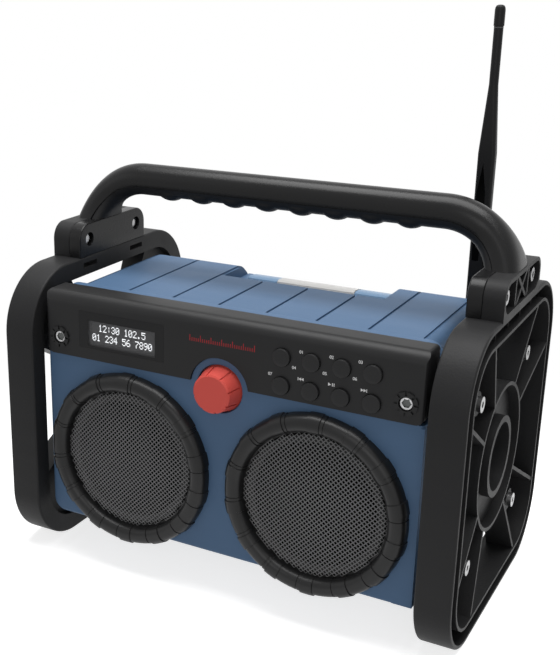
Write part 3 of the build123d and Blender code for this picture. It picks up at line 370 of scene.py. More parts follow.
PIXEL = Finish("display_pixel", (0.80, 0.82, 0.84), 0.5, glow=0.8)
INK = Finish("label_white_ink", (0.66, 0.66, 0.66), 0.5)
RED_INK = Finish("label_red_ink", (0.40, 0.026, 0.032), 0.5, specular=0.1)
# Painted shade: near-black gloss for the plate that darkens the antenna blade's recess.
RECESS_SHADE_BLACK = Finish("inlay_gloss_black", (0.0008, 0.0008, 0.0008), 0.25, specular=0.04)
# Painted highlight: the lamp bar is the housing blue, made lighter to stand in for the light on its rounded
# top; its gloss is its own.
LAMP_BLUE_HIGHLIGHT = Finish("lamp_bar_pale_blue", (0.11, 0.20, 0.32), 0.28, 0.00002, 1100.0, 0.04, 0.2,
                   specular=0.5)
LENS = Finish("lamp_frosted_lens", (0.40, 0.395, 0.385), 0.35, 0.00004, 700.0, 0.02, 0.2)
PCB = Finish("board_green_mask", (0.012, 0.09, 0.04), 0.35)
STEEL = Finish("plain_steel", (0.45, 0.45, 0.46), 0.38, 0.00002, 1200.0, 0.06, 0.3, metallic=1.0)
MAGNET = Finish("magnet_grey", (0.08, 0.08, 0.085), 0.5, 0.0001, 500.0, 0.1, 0.3)
PAPER = Finish("cone_paper", (0.03, 0.03, 0.032), 0.85, 0.0002, 500.0, 0.12, 0.2)
ALUMINIUM = Finish("heat_sink_aluminium", (0.6, 0.6, 0.61), 0.4, 0.00002, 1200.0, 0.05, 0.3,
                   metallic=1.0)
CELLS = Finish("battery_shell", (0.05, 0.05, 0.055), 0.5, 0.00006, 900.0, 0.06, 0.2)
# Painted shade: the dark grey of the cup inside the panel screws' sockets, standing in for the shade there.
PAINTED_SOCKET_SHADE = Finish("screw_socket_shade", (0.14, 0.147, 0.143), 0.5, specular=0.3)
ANTENNA = Finish("antenna_black_skin", (0.0085, 0.0085, 0.009), 0.4, 0.00003, 900.0, 0.08, 0.3,
                 specular=0.14)


@dataclass(frozen=True)
class WindowPane:
    """The clear window over the display: see-through in the middle, printed black round it.

    Attributes:
        centre: (x, z) of the clear area, in millimetres.
        half: half width and half height of the clear area, in millimetres.
        tint: how much of the clear area the smoked tint hides.
        print_y: the black print is on what lies in front of this, in millimetres.
        black: linear colour of the print and the tint.
        roughness: roughness of the pane.
        specular: its specular level.
        smears: strength of the handling marks in the tint.
    """

    centre: Point = (-77.1, 179.8)
    half: Point = (27.6, 9.3)
    tint: float = 0.06
    print_y: float = -96.5
    black: tuple[float, float, float] = (0.013, 0.013, 0.0135)
    roughness: float = 0.36
    specular: float = 0.14
    smears: float = 0.12

    def build(self) -> bpy.types.Material:
        """Builds the pane's material.

        Returns:
            A glossy material whose alpha falls to the tint inside the clear area.
        """
        material, tree = new_material("smoked_window")
        shader = tree.nodes["Principled BSDF"]
        shader.inputs["Base Color"].default_value = (*self.black, 1.0)
        shader.inputs["Roughness"].default_value = self.roughness
        shader.inputs["Specular IOR Level"].default_value = self.specular
        place = add_node(tree, "ShaderNodeTexCoord").outputs["Object"]
        axes = add_node(tree, "ShaderNodeSeparateXYZ")
        tree.links.new(place, axes.inputs[0])
        outside = []
        for axis, middle, reach in (("X", self.centre[0], self.half[0]), ("Z", self.centre[1], self.half[1])):
            away = math_node(tree, "ABSOLUTE", math_node(tree, "SUBTRACT", axes.outputs[axis], middle * MM))
            outside.append(math_node(tree, "GREATER_THAN", away, reach * MM))
        printed = math_node(tree, "LESS_THAN", axes.outputs["Y"], self.print_y * MM)
        border = math_node(tree, "MULTIPLY", math_node(tree, "MAXIMUM", outside[0], outside[1]), printed)
        marks = add_node(tree, "ShaderNodeGroup", node_tree=Effects.get("handling_marks"))
        marks.inputs["Amount"].default_value = self.smears
        tree.links.new(place, marks.inputs["Vector"])
        smear = math_node(tree, "ADD", marks.outputs["Mask"], self.tint)
        tree.links.new(math_node(tree, "MAXIMUM", border, smear, clamp=True), shader.inputs["Alpha"])
        material.surface_render_method = "BLENDED"
        return material


# --------------------------------------------------------------------------- CAD skins
@dataclass
class CadSkin:
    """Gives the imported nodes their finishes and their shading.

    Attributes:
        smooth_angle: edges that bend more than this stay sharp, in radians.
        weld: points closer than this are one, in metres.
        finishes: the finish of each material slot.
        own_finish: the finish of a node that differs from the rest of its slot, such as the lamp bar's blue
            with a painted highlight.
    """

    smooth_angle: float = math.radians(32)
    weld: float = 2e-6
    finishes: dict[str, Finish] = field(default_factory=lambda: {
        "frame_black": BLACK, "handle_black": HANDLE, "grip_rubber": GRIP, "housing_blue": BLUE,
        "panel_black": PANEL, "bumper_rubber": BUMPER, "grille_metal": MESH_GREY,
        "screw_steel": SILVER, "knob_red": RED, "button_black": KEY, "display_face": SCREEN,
        "lens_white": LENS, "board_green": PCB, "part_black": BLACK, "metal_grey": STEEL,
        "magnet_grey": MAGNET, "cone_paper": PAPER, "heat_aluminium": ALUMINIUM,
        "battery_shell": CELLS, "gasket_rubber": BUMPER, "antenna_black": ANTENNA,
    })
    own_finish: dict[str, Finish] = field(default_factory=lambda: {"lamp_bezel": LAMP_BLUE_HIGHLIGHT})

    def shading_tree(self) -> Tree:
        """Makes the geometry tree that shades faces smooth and keeps real edges sharp.

        Returns:
            The tree, with the angle as an input.
        """
        tree = bpy.data.node_groups.new("smooth_by_edge", "GeometryNodeTree")
        tree.interface.new_socket("Geometry", in_out="INPUT", socket_type="NodeSocketGeometry")
        angle = tree.interface.new_socket("Angle", in_out="INPUT", socket_type="NodeSocketFloat")
        angle.default_value = self.smooth_angle
        tree.interface.new_socket("Geometry", in_out="OUTPUT", socket_type="NodeSocketGeometry")
        inlet = add_node(tree, "NodeGroupInput")
        outlet = add_node(tree, "NodeGroupOutput")
        merge = add_node(tree, "GeometryNodeMergeByDistance")
        merge.inputs["Distance"].default_value = self.weld
        faces = add_node(tree, "GeometryNodeSetShadeSmooth", domain="FACE")
        edges = add_node(tree, "GeometryNodeSetShadeSmooth", domain="EDGE")
        edge_angle = add_node(tree, "GeometryNodeInputMeshEdgeAngle")
        compare = add_node(tree, "FunctionNodeCompare", operation="GREATER_THAN")
        tree.links.new(edge_angle.outputs["Unsigned Angle"], compare.inputs[0])
        tree.links.new(inlet.outputs["Angle"], compare.inputs[1])
        tree.links.new(inlet.outputs["Geometry"], merge.inputs["Geometry"])
        tree.links.new(merge.outputs["Geometry"], faces.inputs["Geometry"])
        tree.links.new(faces.outputs["Geometry"], edges.inputs["Geometry"])
        tree.links.new(compare.outputs["Result"], edges.inputs["Selection"])
        edges.inputs["Shade Smooth"].default_value = False
        tree.links.new(edges.outputs["Geometry"], outlet.inputs["Geometry"])
        return tree

    def dress(self) -> None:
        """Puts a finish and the shading on every CAD node."""
        shading = self.shading_tree()
        glass = WindowPane().build()
        slots = {part["node"]: part["material_slot"] for part in frame["record"]["subparts"]}
        for name, node in frame["nodes"].items():
            slot = slots[name]
            finish = self.own_finish.get(name) or self.finishes.get(slot)
            material = glass if slot == "window_clear" else finish.build()
            node.data.materials.clear()
            node.data.materials.append(material)
            node.modifiers.new("shading", "NODES").node_group = shading
        log.info("dressed %d CAD nodes", len(frame["nodes"]))


# --------------------------------------------------------------------------- geometry nodes
class PatternTree:
    """A small geometry-nodes tree that instances one mesh on computed points."""

    def __init__(self, name: str) -> None:
        """Starts an empty tree with a geometry output.

        Args:
            name: the tree's name.
        """
        self.tree = bpy.data.node_groups.new(name, "GeometryNodeTree")
        self.tree.interface.new_socket("Geometry", in_out="OUTPUT", socket_type="NodeSocketGeometry")
        self.inlet = add_node(self.tree, "NodeGroupInput")
        self.outlet = add_node(self.tree, "NodeGroupOutput")
        self.values: dict[str, float] = {}

    def size(self, name: str, value: float) -> Socket:
        """Adds a named input.

        Args:
            name: the input's label.
            value: its value.

        Returns:
            The socket inside the tree.
        """
        socket = self.tree.interface.new_socket(name, in_out="INPUT", socket_type="NodeSocketFloat")
        self.values[socket.identifier] = value
        return self.inlet.outputs[name]

    def add(self, kind: str, **values: object) -> bpy.types.Node:
        """Adds a node to the tree."""
        return add_node(self.tree, kind, **values)

    def link(self, source: Socket, target: Socket) -> None:
        """Links two sockets."""
        self.tree.links.new(source, target)

    def shape_of(self, piece: Piece) -> Socket:
        """Brings an object's shape into the tree.

        Args:
            piece: the object.

        Returns:
            The socket with its geometry.
        """
        info = self.add("GeometryNodeObjectInfo")
        info.inputs["Object"].default_value = piece
        return info.outputs["Geometry"]

    def copies(self, points: Socket, shape: Socket) -> Socket:
        """Puts a copy of a shape on each point.

        Args:
            points: the socket with the points.
            shape: the socket with the shape.

        Returns:
            The socket with the copies.
        """
        copies = self.add("GeometryNodeInstanceOnPoints")
        self.link(points, copies.inputs["Points"])
        self.link(shape, copies.inputs["Instance"])
        return copies.outputs["Instances"]

    def moved(self, geometry: Socket, turn: Spot, shift: Spot = (0.0, 0.0, 0.0)) -> Socket:
        """Turns a shape and then shifts it.

        Args:
            geometry: the socket with the shape.
            turn: its turn about X, Y and Z, in degrees.
            shift: its shift, in metres.

        Returns:
            The socket with the moved shape.
        """
        mover = self.add("GeometryNodeTransform")
        mover.inputs["Rotation"].default_value = tuple(math.radians(angle) for angle in turn)
        mover.inputs["Translation"].default_value = shift
        self.link(geometry, mover.inputs["Geometry"])
        return mover.outputs["Geometry"]

    def finish(self, geometry: Socket, material: bpy.types.Material, name: str) -> Piece:
        """Ends the tree and turns its result into a plain mesh object.

        Args:
            geometry: the socket with the instances.
            material: the finish of the result.
            name: the piece's name.

        Returns:
            A mesh object at the origin with no modifier.
        """
        real = self.add("GeometryNodeRealizeInstances")
        paint = self.add("GeometryNodeSetMaterial")
        paint.inputs["Material"].default_value = material
        self.link(geometry, real.inputs["Geometry"])
        self.link(real.outputs["Geometry"], paint.inputs["Geometry"])
        self.link(paint.outputs["Geometry"], self.outlet.inputs["Geometry"])
        carrier = put(name + "_carrier", bpy.data.meshes.new(name + "_carrier"))
        modifier = carrier.modifiers.new("pattern", "NODES")
        modifier.node_group = self.tree
        for identifier, value in self.values.items():
            modifier[identifier] = value
        graph = bpy.context.evaluated_depsgraph_get()
        graph.update()
        mesh = bpy.data.meshes.new_from_object(carrier.evaluated_get(graph))
        mesh.name = name
        bpy.data.objects.remove(carrier)
        if not mesh.materials:
            mesh.materials.append(material)
        return put(name, mesh)


# --------------------------------------------------------------------------- mesh helpers
def put(name: str, data: bpy.types.ID) -> Piece:
    """Makes an object and links it to the scene.

    Args:
        name: the object's name.
        data: its mesh, curve, lamp or camera.

    Returns:
        The linked object, at the origin.
    """
    piece = bpy.data.objects.new(name, data)
    bpy.context.scene.collection.objects.link(piece)
    return piece


def mesh_piece(name: str, recipe: Recipe, material: bpy.types.Material) -> Piece:
    """Makes an object from a bmesh recipe.

    Args:
        name: the piece's name.
        recipe: fills an empty bmesh, in metres, in the frame's axes.
        material: its finish.

    Returns:
        The linked object.
    """
    mesh = bpy.data.meshes.new(name)
    work = bmesh.new()
    recipe(work)
    work.to_mesh(mesh)
    work.free()
    mesh.materials.append(material)
    return put(name, mesh)


def bridge(work: Work, loops: Sequence[Sequence[bmesh.types.BMVert]]) -> None:
    """Joins each loop of points to the next one with four-sided faces.

    Args:
        work: the bmesh to add to.
        loops: loops of equally many points, in order.
    """
    for near, far in zip(loops, loops[1:]):
        for index in range(len(near)):
            work.faces.new((near[index - 1], near[index], far[index], far[index - 1]))


def box_points(left: float, low: float, right: float, high: float) -> list[Point]:
    """Gives the corners of an upright box, anticlockwise from the lower left one."""
    return [(left, low), (right, low), (right, high), (left, high)]


def add_slab(work: Work, points: Sequence[Point], near: float, far: float) -> None:
    """Adds a thin plate that faces the front, from an outline in X and Z.

    Args:
        work: the bmesh to add to.
        points: (x, z) of the outline, in millimetres.
        near: y of the front face, in millimetres.
        far: y of the back face, in millimetres.
    """
    area = sum(points[i - 1][0] * points[i][1] - points[i][0] * points[i - 1][1] for i in range(len(points)))
    ordered = list(points) if area > 0 else list(reversed(points))
    front = [work.verts.new((x * MM, near * MM, z * MM)) for x, z in ordered]
    back = [work.verts.new((x * MM, far * MM, z * MM)) for x, z in ordered]
    work.faces.new(front)
    work.faces.new(list(reversed(back)))
    for index in range(len(ordered)):
        work.faces.new((front[index - 1], back[index - 1], back[index], front[index]))


class Axis(Enum):
    """The line that a turned piece goes round."""

    X = 0
    Y = 1
    Z = 2


class Turned:
    """Turned shapes: a profile of radius and distance that goes round a line."""

    segments: int = 48

    @classmethod
    def point(cls, axis: Axis, place: Spot, radius: float, along: float, turn: float) -> Spot:
        """Gives one point of a turned shape.

        Args:
            axis: the line's direction.
            place: a point on the line, in millimetres.
            radius: distance from the line, in millimetres.
            along: distance along the line, in millimetres.
            turn: angle round the line, in radians.

        Returns:
            The point, in metres.
        """
        spot = [radius * math.cos(turn), radius * math.sin(turn)]
        spot.insert(axis.value, along)
        return tuple((base + value) * MM for base, value in zip(place, spot))

    @classmethod
    def add(cls, work: Work, axis: Axis, place: Spot, profile: Sequence[Point],
            hexagons: Sequence[int] = (), ring: bool = False) -> None:
        """Adds a turned shape.

        Args:
            work: the bmesh to add to.
            axis: the line's direction.
            place: a point on the line, in millimetres.
            profile: (radius, distance along the line) of each loop, in millimetres.
            hexagons: numbers of the loops that are hexagons, measured to their corners.
            ring: whether the last loop joins the first one.
        """
        loops = []
        for number, (radius, along) in enumerate(profile):
            loop = []
            for index in range(cls.segments):
                turn = 2 * math.pi * index / cls.segments
                reach = radius
                if number in hexagons:
                    reach *= math.cos(math.pi / 6) / math.cos(turn % (math.pi / 3) - math.pi / 6)
                loop.append(work.verts.new(cls.point(axis, place, reach, along, turn)))
            loops.append(loop)
        if ring:
            loops.append(loops[0])
        else:
            work.faces.new(loops[0])
            work.faces.new(loops[-1])
        bridge(work, loops)
        bmesh.ops.recalc_face_normals(work, faces=work.faces)


def crease(piece: Piece, angle: float = 35.0) -> Piece:
    """Shades a piece smooth and keeps its sharp edges.

    Args:
        piece: the piece.
        angle: edges that bend more than this stay sharp, in degrees.

    Returns:
        The same piece.
    """
    for polygon in piece.data.polygons:
        polygon.use_smooth = True
    piece.data.set_sharp_from_angle(angle=math.radians(angle))
    return piece


# --------------------------------------------------------------------------- carrying handle
@dataclass
class CarryHandle:
    """The carrying handle: an outer shell and a grip shell swept along one bent bar.

    The bar's section is round. Towards the feet it flares to a wider one with squarer corners.
    """

    height: float = 272.8
    reach: float = 116.0
    bend: float = 43.3
    radius: float = 11.7
    foot_z: float = 241.5
    foot_half: float = 20.0
    core_half: float = 19.0
    flare_start: float = 34.0
    flare_power: float = 1.7
    round_power: float = 2.0
    foot_power: float = 3.4
    parting: float = 3.5
    groove: float = 0.8
    groove_depth: float = 0.8
    bumps: int = 8
    bump_pitch: float = 26.4
    bump_length: float = 15.4
    bump_drop: float = 2.4
    bump_power: float = 0.85
    bump_spread: float = 0.95
    spread_power: float = 0.6
    around: int = 36
    step: float = 1.1
    bend_steps: int = 40
    crease_angle: float = 40.0
    tenon: Spot = (12.0, 28.0, 19.0)
    tenon_x: float = 156.0
    tenon_gap: float = 0.1

    def stations(self) -> list[tuple[float, float, float, float]]:
        """Lists the sections from the left foot to the right one.

        Returns:
            (x, z, lean of the section, share of the flare) of each section.
        """
        low = self.height - self.bend
        end = math.degrees(math.acos((self.foot_z - low) / self.bend))
        count = int(self.reach / self.step)
        half = [(self.reach * index / count, self.height, 0.0, 0.0) for index in range(count + 1)]
        for index in range(1, self.bend_steps + 1):
            turn = end * index / self.bend_steps
            share = max(0.0, (turn - self.flare_start) / (end - self.flare_start))
            ease = share * share * (3 - 2 * share)
            lean = turn + (90.0 - end) * ease
            x = self.reach + self.bend * math.sin(math.radians(turn))
            z = low + self.bend * math.cos(math.radians(turn))
            half.append((x, z, lean, share ** self.flare_power))
        left = [(-x, z, -lean, share) for x, z, lean, share in reversed(half[1:])]
        return left + half

    def bump(self, x: float) -> float:
        """Gives the height of the finger bumps at a place along the grip.

        Args:
            x: the place.

        Returns:
            The height, 0 between two bumps.
        """
        first = -(self.bumps - 1) / 2 * self.bump_pitch
        number = min(max(round((x - first) / self.bump_pitch), 0), self.bumps - 1)
        away = abs(x - first - number * self.bump_pitch) / (self.bump_length / 2)
        return self.bump_drop * max(0.0, 1.0 - away * away) ** self.bump_power

    def form(self, share: float, foot_half: float) -> Point:
        """Gives the section's half width and the power of its outline at a share of the flare."""
        wide = self.radius + (foot_half - self.radius) * share
        return wide, self.round_power + (self.foot_power - self.round_power) * share

    def edge(self, depth: float, wide: float, power: float) -> Point:
        """Finds the outline's angle and half width at a depth under the centre line."""
        turn = math.acos(-((depth / self.radius) ** (power / 2)))
        return turn, wide * math.sin(turn) ** (2 / power)

    def outline(self, turn: float, wide: float, power: float) -> Point:
        """Gives one point of the section's outline, as outward and sideways distances."""
        out, side = math.cos(turn), math.sin(turn)
        return (math.copysign(abs(out) ** (2 / power), out) * self.radius,
                math.copysign(abs(side) ** (2 / power), side) * wide)

    def outer_section(self, _x: float, share: float) -> list[Point]:
        """Gives the outer shell's section, which is the same all along the bar.

        Args:
            _x: the place along the bar, which only the grip's section needs.
            share: share of the flare.

        Returns:
            (outward, sideways) of each point.
        """
        wide, power = self.form(share, self.foot_half)
        last, _ = self.edge(self.parting, wide, power)
        return [self.outline(-last + 2 * last * index / self.around, wide, power)
                for index in range(self.around + 1)]

    def grip_section(self, x: float, share: float) -> list[Point]:
        """Gives the grip shell's section, with its groove and finger bumps.

        Args:
            x: the place along the bar.
            share: share of the flare.

        Returns:
            (outward, sideways) of each point.
        """
        wide, power = self.form(share, self.core_half)
        low = -self.parting - self.groove
        _, at_top = self.edge(self.parting, wide, power)
        first, at_low = self.edge(self.parting + self.groove, wide, power)
        floor = min(at_top, at_low) - self.groove_depth
        points = [(-self.parting, floor), (low, floor)]
        rise = self.bump(x) if share == 0.0 and abs(x) < self.reach else 0.0
        for index in range(self.around + 1):
            turn = first + (2 * math.pi - 2 * first) * index / self.around
            out, side = self.outline(turn, wide, power)
            spread = max(0.0, 1.0 - (abs(turn - math.pi) / self.bump_spread) ** 2) ** self.spread_power
            points.append((out + rise * spread * math.cos(turn), side + rise * spread * math.sin(turn)))
        return points + [(low, -floor), (-self.parting, -floor)]

    def sweep(self, work: Work, section: Callable[[float, float], list[Point]], with_tenons: bool) -> None:
        """Sweeps a section along the handle and closes both ends.

        Args:
            work: the bmesh to add to.
            section: gives the section at a place and a share of the flare.
            with_tenons: whether the tenons in the mounts are part of it.
        """
        loops = []
        for x, z, lean, share in self.stations():
            along_x, along_z = math.sin(math.radians(lean)), math.cos(math.radians(lean))
            loops.append([work.verts.new(((x + out * along_x) * MM, side * MM, (z + out * along_z) * MM))
                          for out, side in section(x, share)])
        work.faces.new(loops[0])
        work.faces.new(loops[-1])
        bridge(work, loops)
        if with_tenons:
            self.add_tenons(work)
        bmesh.ops.recalc_face_normals(work, faces=work.faces)

    def add_tenons(self, work: Work) -> None:
        """Adds the tenon under each foot.

        Args:
            work: the bmesh to add to.
        """
        wide, deep, long = self.tenon
        middle_z = self.foot_z - long / 2 - self.tenon_gap
        for side in Side:
            middle = Vector((side.value * self.tenon_x, 0.0, middle_z)) * MM
            size = Matrix.Diagonal((wide * MM, deep * MM, long * MM, 1.0))
            bmesh.ops.create_cube(work, size=1.0, matrix=Matrix.Translation(middle) @ size)

    def build(self) -> None:
        """Builds both shells and stands them in for the CAD ones."""
        outer_recipe = partial(self.sweep, section=self.outer_section, with_tenons=True)
        grip_recipe = partial(self.sweep, section=self.grip_section, with_tenons=False)
        outer = crease(mesh_piece("handle_outer_form", outer_recipe, HANDLE.build()), self.crease_angle)
        grip = crease(mesh_piece("handle_grip_form", grip_recipe, GRIP.build()), self.crease_angle)
        for piece, node, slot in ((outer, "handle_outer_shell", "handle_black"),
                                  (grip, "handle_grip_shell", "grip_rubber")):
            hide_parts(node)
            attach(piece, "radio")
        log.info("carrying handle built")


# --------------------------------------------------------------------------- small pieces
@dataclass
class KnobSeat:
    """The blue lip that closes in round the foot of the tuning knob."""

    centre_z: float = 157.2
    face_y: float = -95.77
    floor_y: float = -92.2
    bore: float = 16.95
    outer: float = 21.2
    bevel_wide: float = 0.4
    bevel_deep: float = 0.5
    foot: float = 0.9

    def build(self) -> None:
        """Builds the lip."""
        profile = [(self.bore, self.floor_y), (self.bore, self.face_y + self.bevel_deep),
                   (self.bore + self.bevel_wide, self.face_y), (self.outer, self.face_y),
                   (self.bore + self.foot, self.floor_y)]
        recipe = partial(Turned.add, axis=Axis.Y, place=(0.0, 0.0, self.centre_z), profile=profile, ring=True)
        piece = crease(mesh_piece("knob_seat_lip", recipe, BLUE.build()))
        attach(piece, "radio")
        log.info("knob seat built")


@dataclass
class HousingCorner:
    """The flat blue end of the front beside the right end frame, down to its lower corner."""

    left: float = 128.0
    low: float = 33.6
    right: float = 141.4
    high: float = 158.0
    face_y: float = -95.74
    back_y: float = -70.0

    def build(self) -> None:
        """Builds the corner."""
        points = box_points(self.left, self.low, self.right, self.high)
        recipe = partial(add_slab, points=points, near=self.face_y, far=self.back_y)
        piece = mesh_piece("housing_right_corner", recipe, BLUE.build())
        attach(piece, "radio")
        log.info("housing corner built")


@dataclass
class PanelScrews:
    """The two socket screws of the control panel, with wide hexagon sockets and painted shade in them."""

    reach: float = 129.0
    centre_z: float = 173.0
    head_y: float = -97.05
    seat_y: float = -94.25
    tip_y: float = -73.9
    head: float = 4.4
    head_bevel: float = 0.5
    shank: float = 1.74
    pole: float = 0.2
    socket: float = 3.1
    socket_bevel: float = 0.25
    socket_depth: float = 1.5
    socket_point: float = 0.4
    # Sizes of the dark cup of painted shade inside each socket.
    lining_gap: float = 0.04
    lining_start: float = 0.32
    lining_floor: float = 0.02
    lining_walls: Point = (0.22, 0.3)
    socket_loops: tuple[int, ...] = (7, 8)
    crease_angle: float = 25.0

    def screws(self, work: Work) -> None:
        """Fills the two screws.

        Args:
            work: the bmesh to add to.
        """
        floor_y = self.head_y + self.socket_depth
        profile = [(self.pole, self.tip_y), (self.shank, self.tip_y), (self.shank, self.seat_y),
                   (self.head, self.seat_y), (self.head, self.head_y + self.head_bevel),
                   (self.head - self.head_bevel, self.head_y), (self.socket + self.socket_bevel, self.head_y),
                   (self.socket, self.head_y + self.socket_bevel), (self.socket, floor_y),
                   (self.pole, floor_y + self.socket_point)]
        for side in Side:
            Turned.add(work, Axis.Y, (side.value * self.reach, 0.0, self.centre_z), profile,
                       hexagons=self.socket_loops)

    def sockets(self, work: Work) -> None:
        """Fills the painted shade of both sockets: a dark hexagonal cup where shade falls in each socket.

        Args:
            work: the bmesh to add to.
        """
        rim = self.socket - self.lining_gap
        floor_y = self.head_y + self.socket_depth
        thin, thick = self.lining_walls
        profile = [(rim, floor_y - self.lining_floor), (rim, self.head_y + self.lining_start),
                   (rim - thin, self.head_y + self.lining_start), (rim - thick, floor_y - thick)]
        for side in Side:
            Turned.add(work, Axis.Y, (side.value * self.reach, 0.0, self.centre_z), profile,
                       hexagons=range(len(profile)))

    def build(self) -> None:
        """Builds both screws, which stand in for the CAD ones, and the painted shade in their sockets."""
        piece = crease(mesh_piece("panel_socket_screws", self.screws, SILVER.build()), self.crease_angle)
        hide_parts("panel_screws")
        shade = crease(mesh_piece("panel_screw_sockets", self.sockets, PAINTED_SOCKET_SHADE.build()), self.crease_angle)
        for part in (piece, shade):
            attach(part, "radio")
        log.info("panel screws built")


@dataclass
class KeyCaps:
    """The raised tops of the eight push buttons."""

    count: int = 8
    rise: float = 1.25
    round: float = 0.35
    round_share: float = 0.3
    sunk: float = 0.3
    crown_share: float = 0.5
    crown: Point = (0.06, 0.08)
    pole: float = 0.1
    face_reach: float = 1.0
    crease_angle: float = 50.0

    def face_radius(self, button: Piece, face: float) -> float:
        """Measures a button's face.

        Args:
            button: the button's node.
            face: y of its face.

        Returns:
            The radius of the face.
        """
        limit = face + self.face_reach
        front = [vertex.co / MM for vertex in button.data.vertices if vertex.co.y / MM < limit]
        return (max(spot.x for spot in front) - min(spot.x for spot in front)) / 2

    def profile(self, radius: float, face: float) -> list[Point]:
        """Gives the cap's section, from inside the button to the middle of the top.

        Args:
            radius: radius of the button's face.
            face: y of the button's face.

        Returns:
            (radius, y) of each point.
        """
        top = face - self.rise
        eased = self.round * self.round_share
        edge, middle = self.crown
        return [(radius, face + self.sunk), (radius, top + self.round), (radius - eased, top + eased),
                (radius - self.round, top), (radius * self.crown_share, top - edge),
                (self.pole, top - middle)]

    def build(self) -> None:
        """Builds a cap on each button, which moves with it."""
        for number in range(1, self.count + 1):
            button = bpy.data.objects[f"button_{number}"]
            corners = [Vector(corner) / MM for corner in button.bound_box]
            spot = sum(corners, Vector()) / len(corners)
            face = min(corner.y for corner in corners)
            profile = self.profile(self.face_radius(button, face), face)
            recipe = partial(Turned.add, axis=Axis.Y, place=(spot.x, 0.0, spot.z), profile=profile)
            piece = crease(mesh_piece(f"button_cap_{number}", recipe, KEY.build()), self.crease_angle)
            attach(piece, f"key_{number}")
        log.info("button caps built")


@dataclass
class AntennaTrim:
    """What the antenna carries: the cap on its tip, a pale line under it, and painted shade in its blade's
    recess.

    The crown lists the cap's upper points, as (share of its radius, distance under its top). The painted
    shade's plate lists (half width, z) of its outline, from the point at its upper end down.
    """

    spot: Point = (117.8, 81.75)
    cap_low: float = 386.1
    cap_top: float = 400.5
    cap_radius: float = 3.6
    cap_foot: Point = (0.8, 0.6)
    crown: tuple[Point, ...] = ((1.0, 3.4), (0.93, 1.9), (0.74, 0.7), (0.42, 0.12))
    pole: float = 0.1
    line_sunk: float = 0.35
    line_height: float = 0.8
    # Place, shift, thickness and outline of the plate of painted shade in the blade's recess.
    inlay_y: float = 77.9
    inlay_shift: float = 1.3
    inlay_thick: float = 0.3
    inlay: tuple[Point, ...] = ((0.0, 293.2), (3.05, 272.0), (3.45, 250.0), (2.3, 222.2))

    def turned(self, name: str, profile: Sequence[Point], finish: Finish) -> Piece:
        """Makes a piece that goes round the rod.

        Args:
            name: the piece's name.
            profile: (radius, z) of each loop.
            finish: its finish.

        Returns:
            The piece.
        """
        recipe = partial(Turned.add, axis=Axis.Z, place=(*self.spot, 0.0), profile=profile)
        return crease(mesh_piece(name, recipe, finish.build()))

    def cap(self) -> Piece:
        """Makes the cap, a little thicker than the rod.

        Returns:
            The cap.
        """
        inward, upward = self.cap_foot
        profile = [(self.cap_radius - inward, self.cap_low), (self.cap_radius, self.cap_low + upward)]
        profile += [(self.cap_radius * share, self.cap_top - under) for share, under in self.crown]
        return self.turned("antenna_tip_cap", profile + [(self.pole, self.cap_top)], ANTENNA)

    def line(self) -> Piece:
        """Makes the pale line under the cap."""
        radius, low = self.cap_radius - self.line_sunk, self.cap_low - self.line_height
        return self.turned("antenna_tip_line", [(radius, low), (radius, self.cap_low)], SCREEN)

    def plate(self) -> Piece:
        """Makes the painted shade in the blade's recess: a thin plate, a long drop with its point up.

        Returns:
            The plate of painted shade.
        """
        x = self.spot[0] - self.inlay_shift
        points = [(x + half, z) for half, z in self.inlay]
        points += [(x - half, z) for half, z in reversed(self.inlay[1:])]
        recipe = partial(add_slab, points=points, near=self.inlay_y - self.inlay_thick, far=self.inlay_y)
        return mesh_piece("antenna_inlay", recipe, RECESS_SHADE_BLACK.build())

    def build(self) -> None:
        """Builds the cap, the line and the painted shade in the blade's recess."""
        for piece in (self.cap(), self.line(), self.plate()):
            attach(piece, "antenna_arm")
        log.info("antenna trim built")


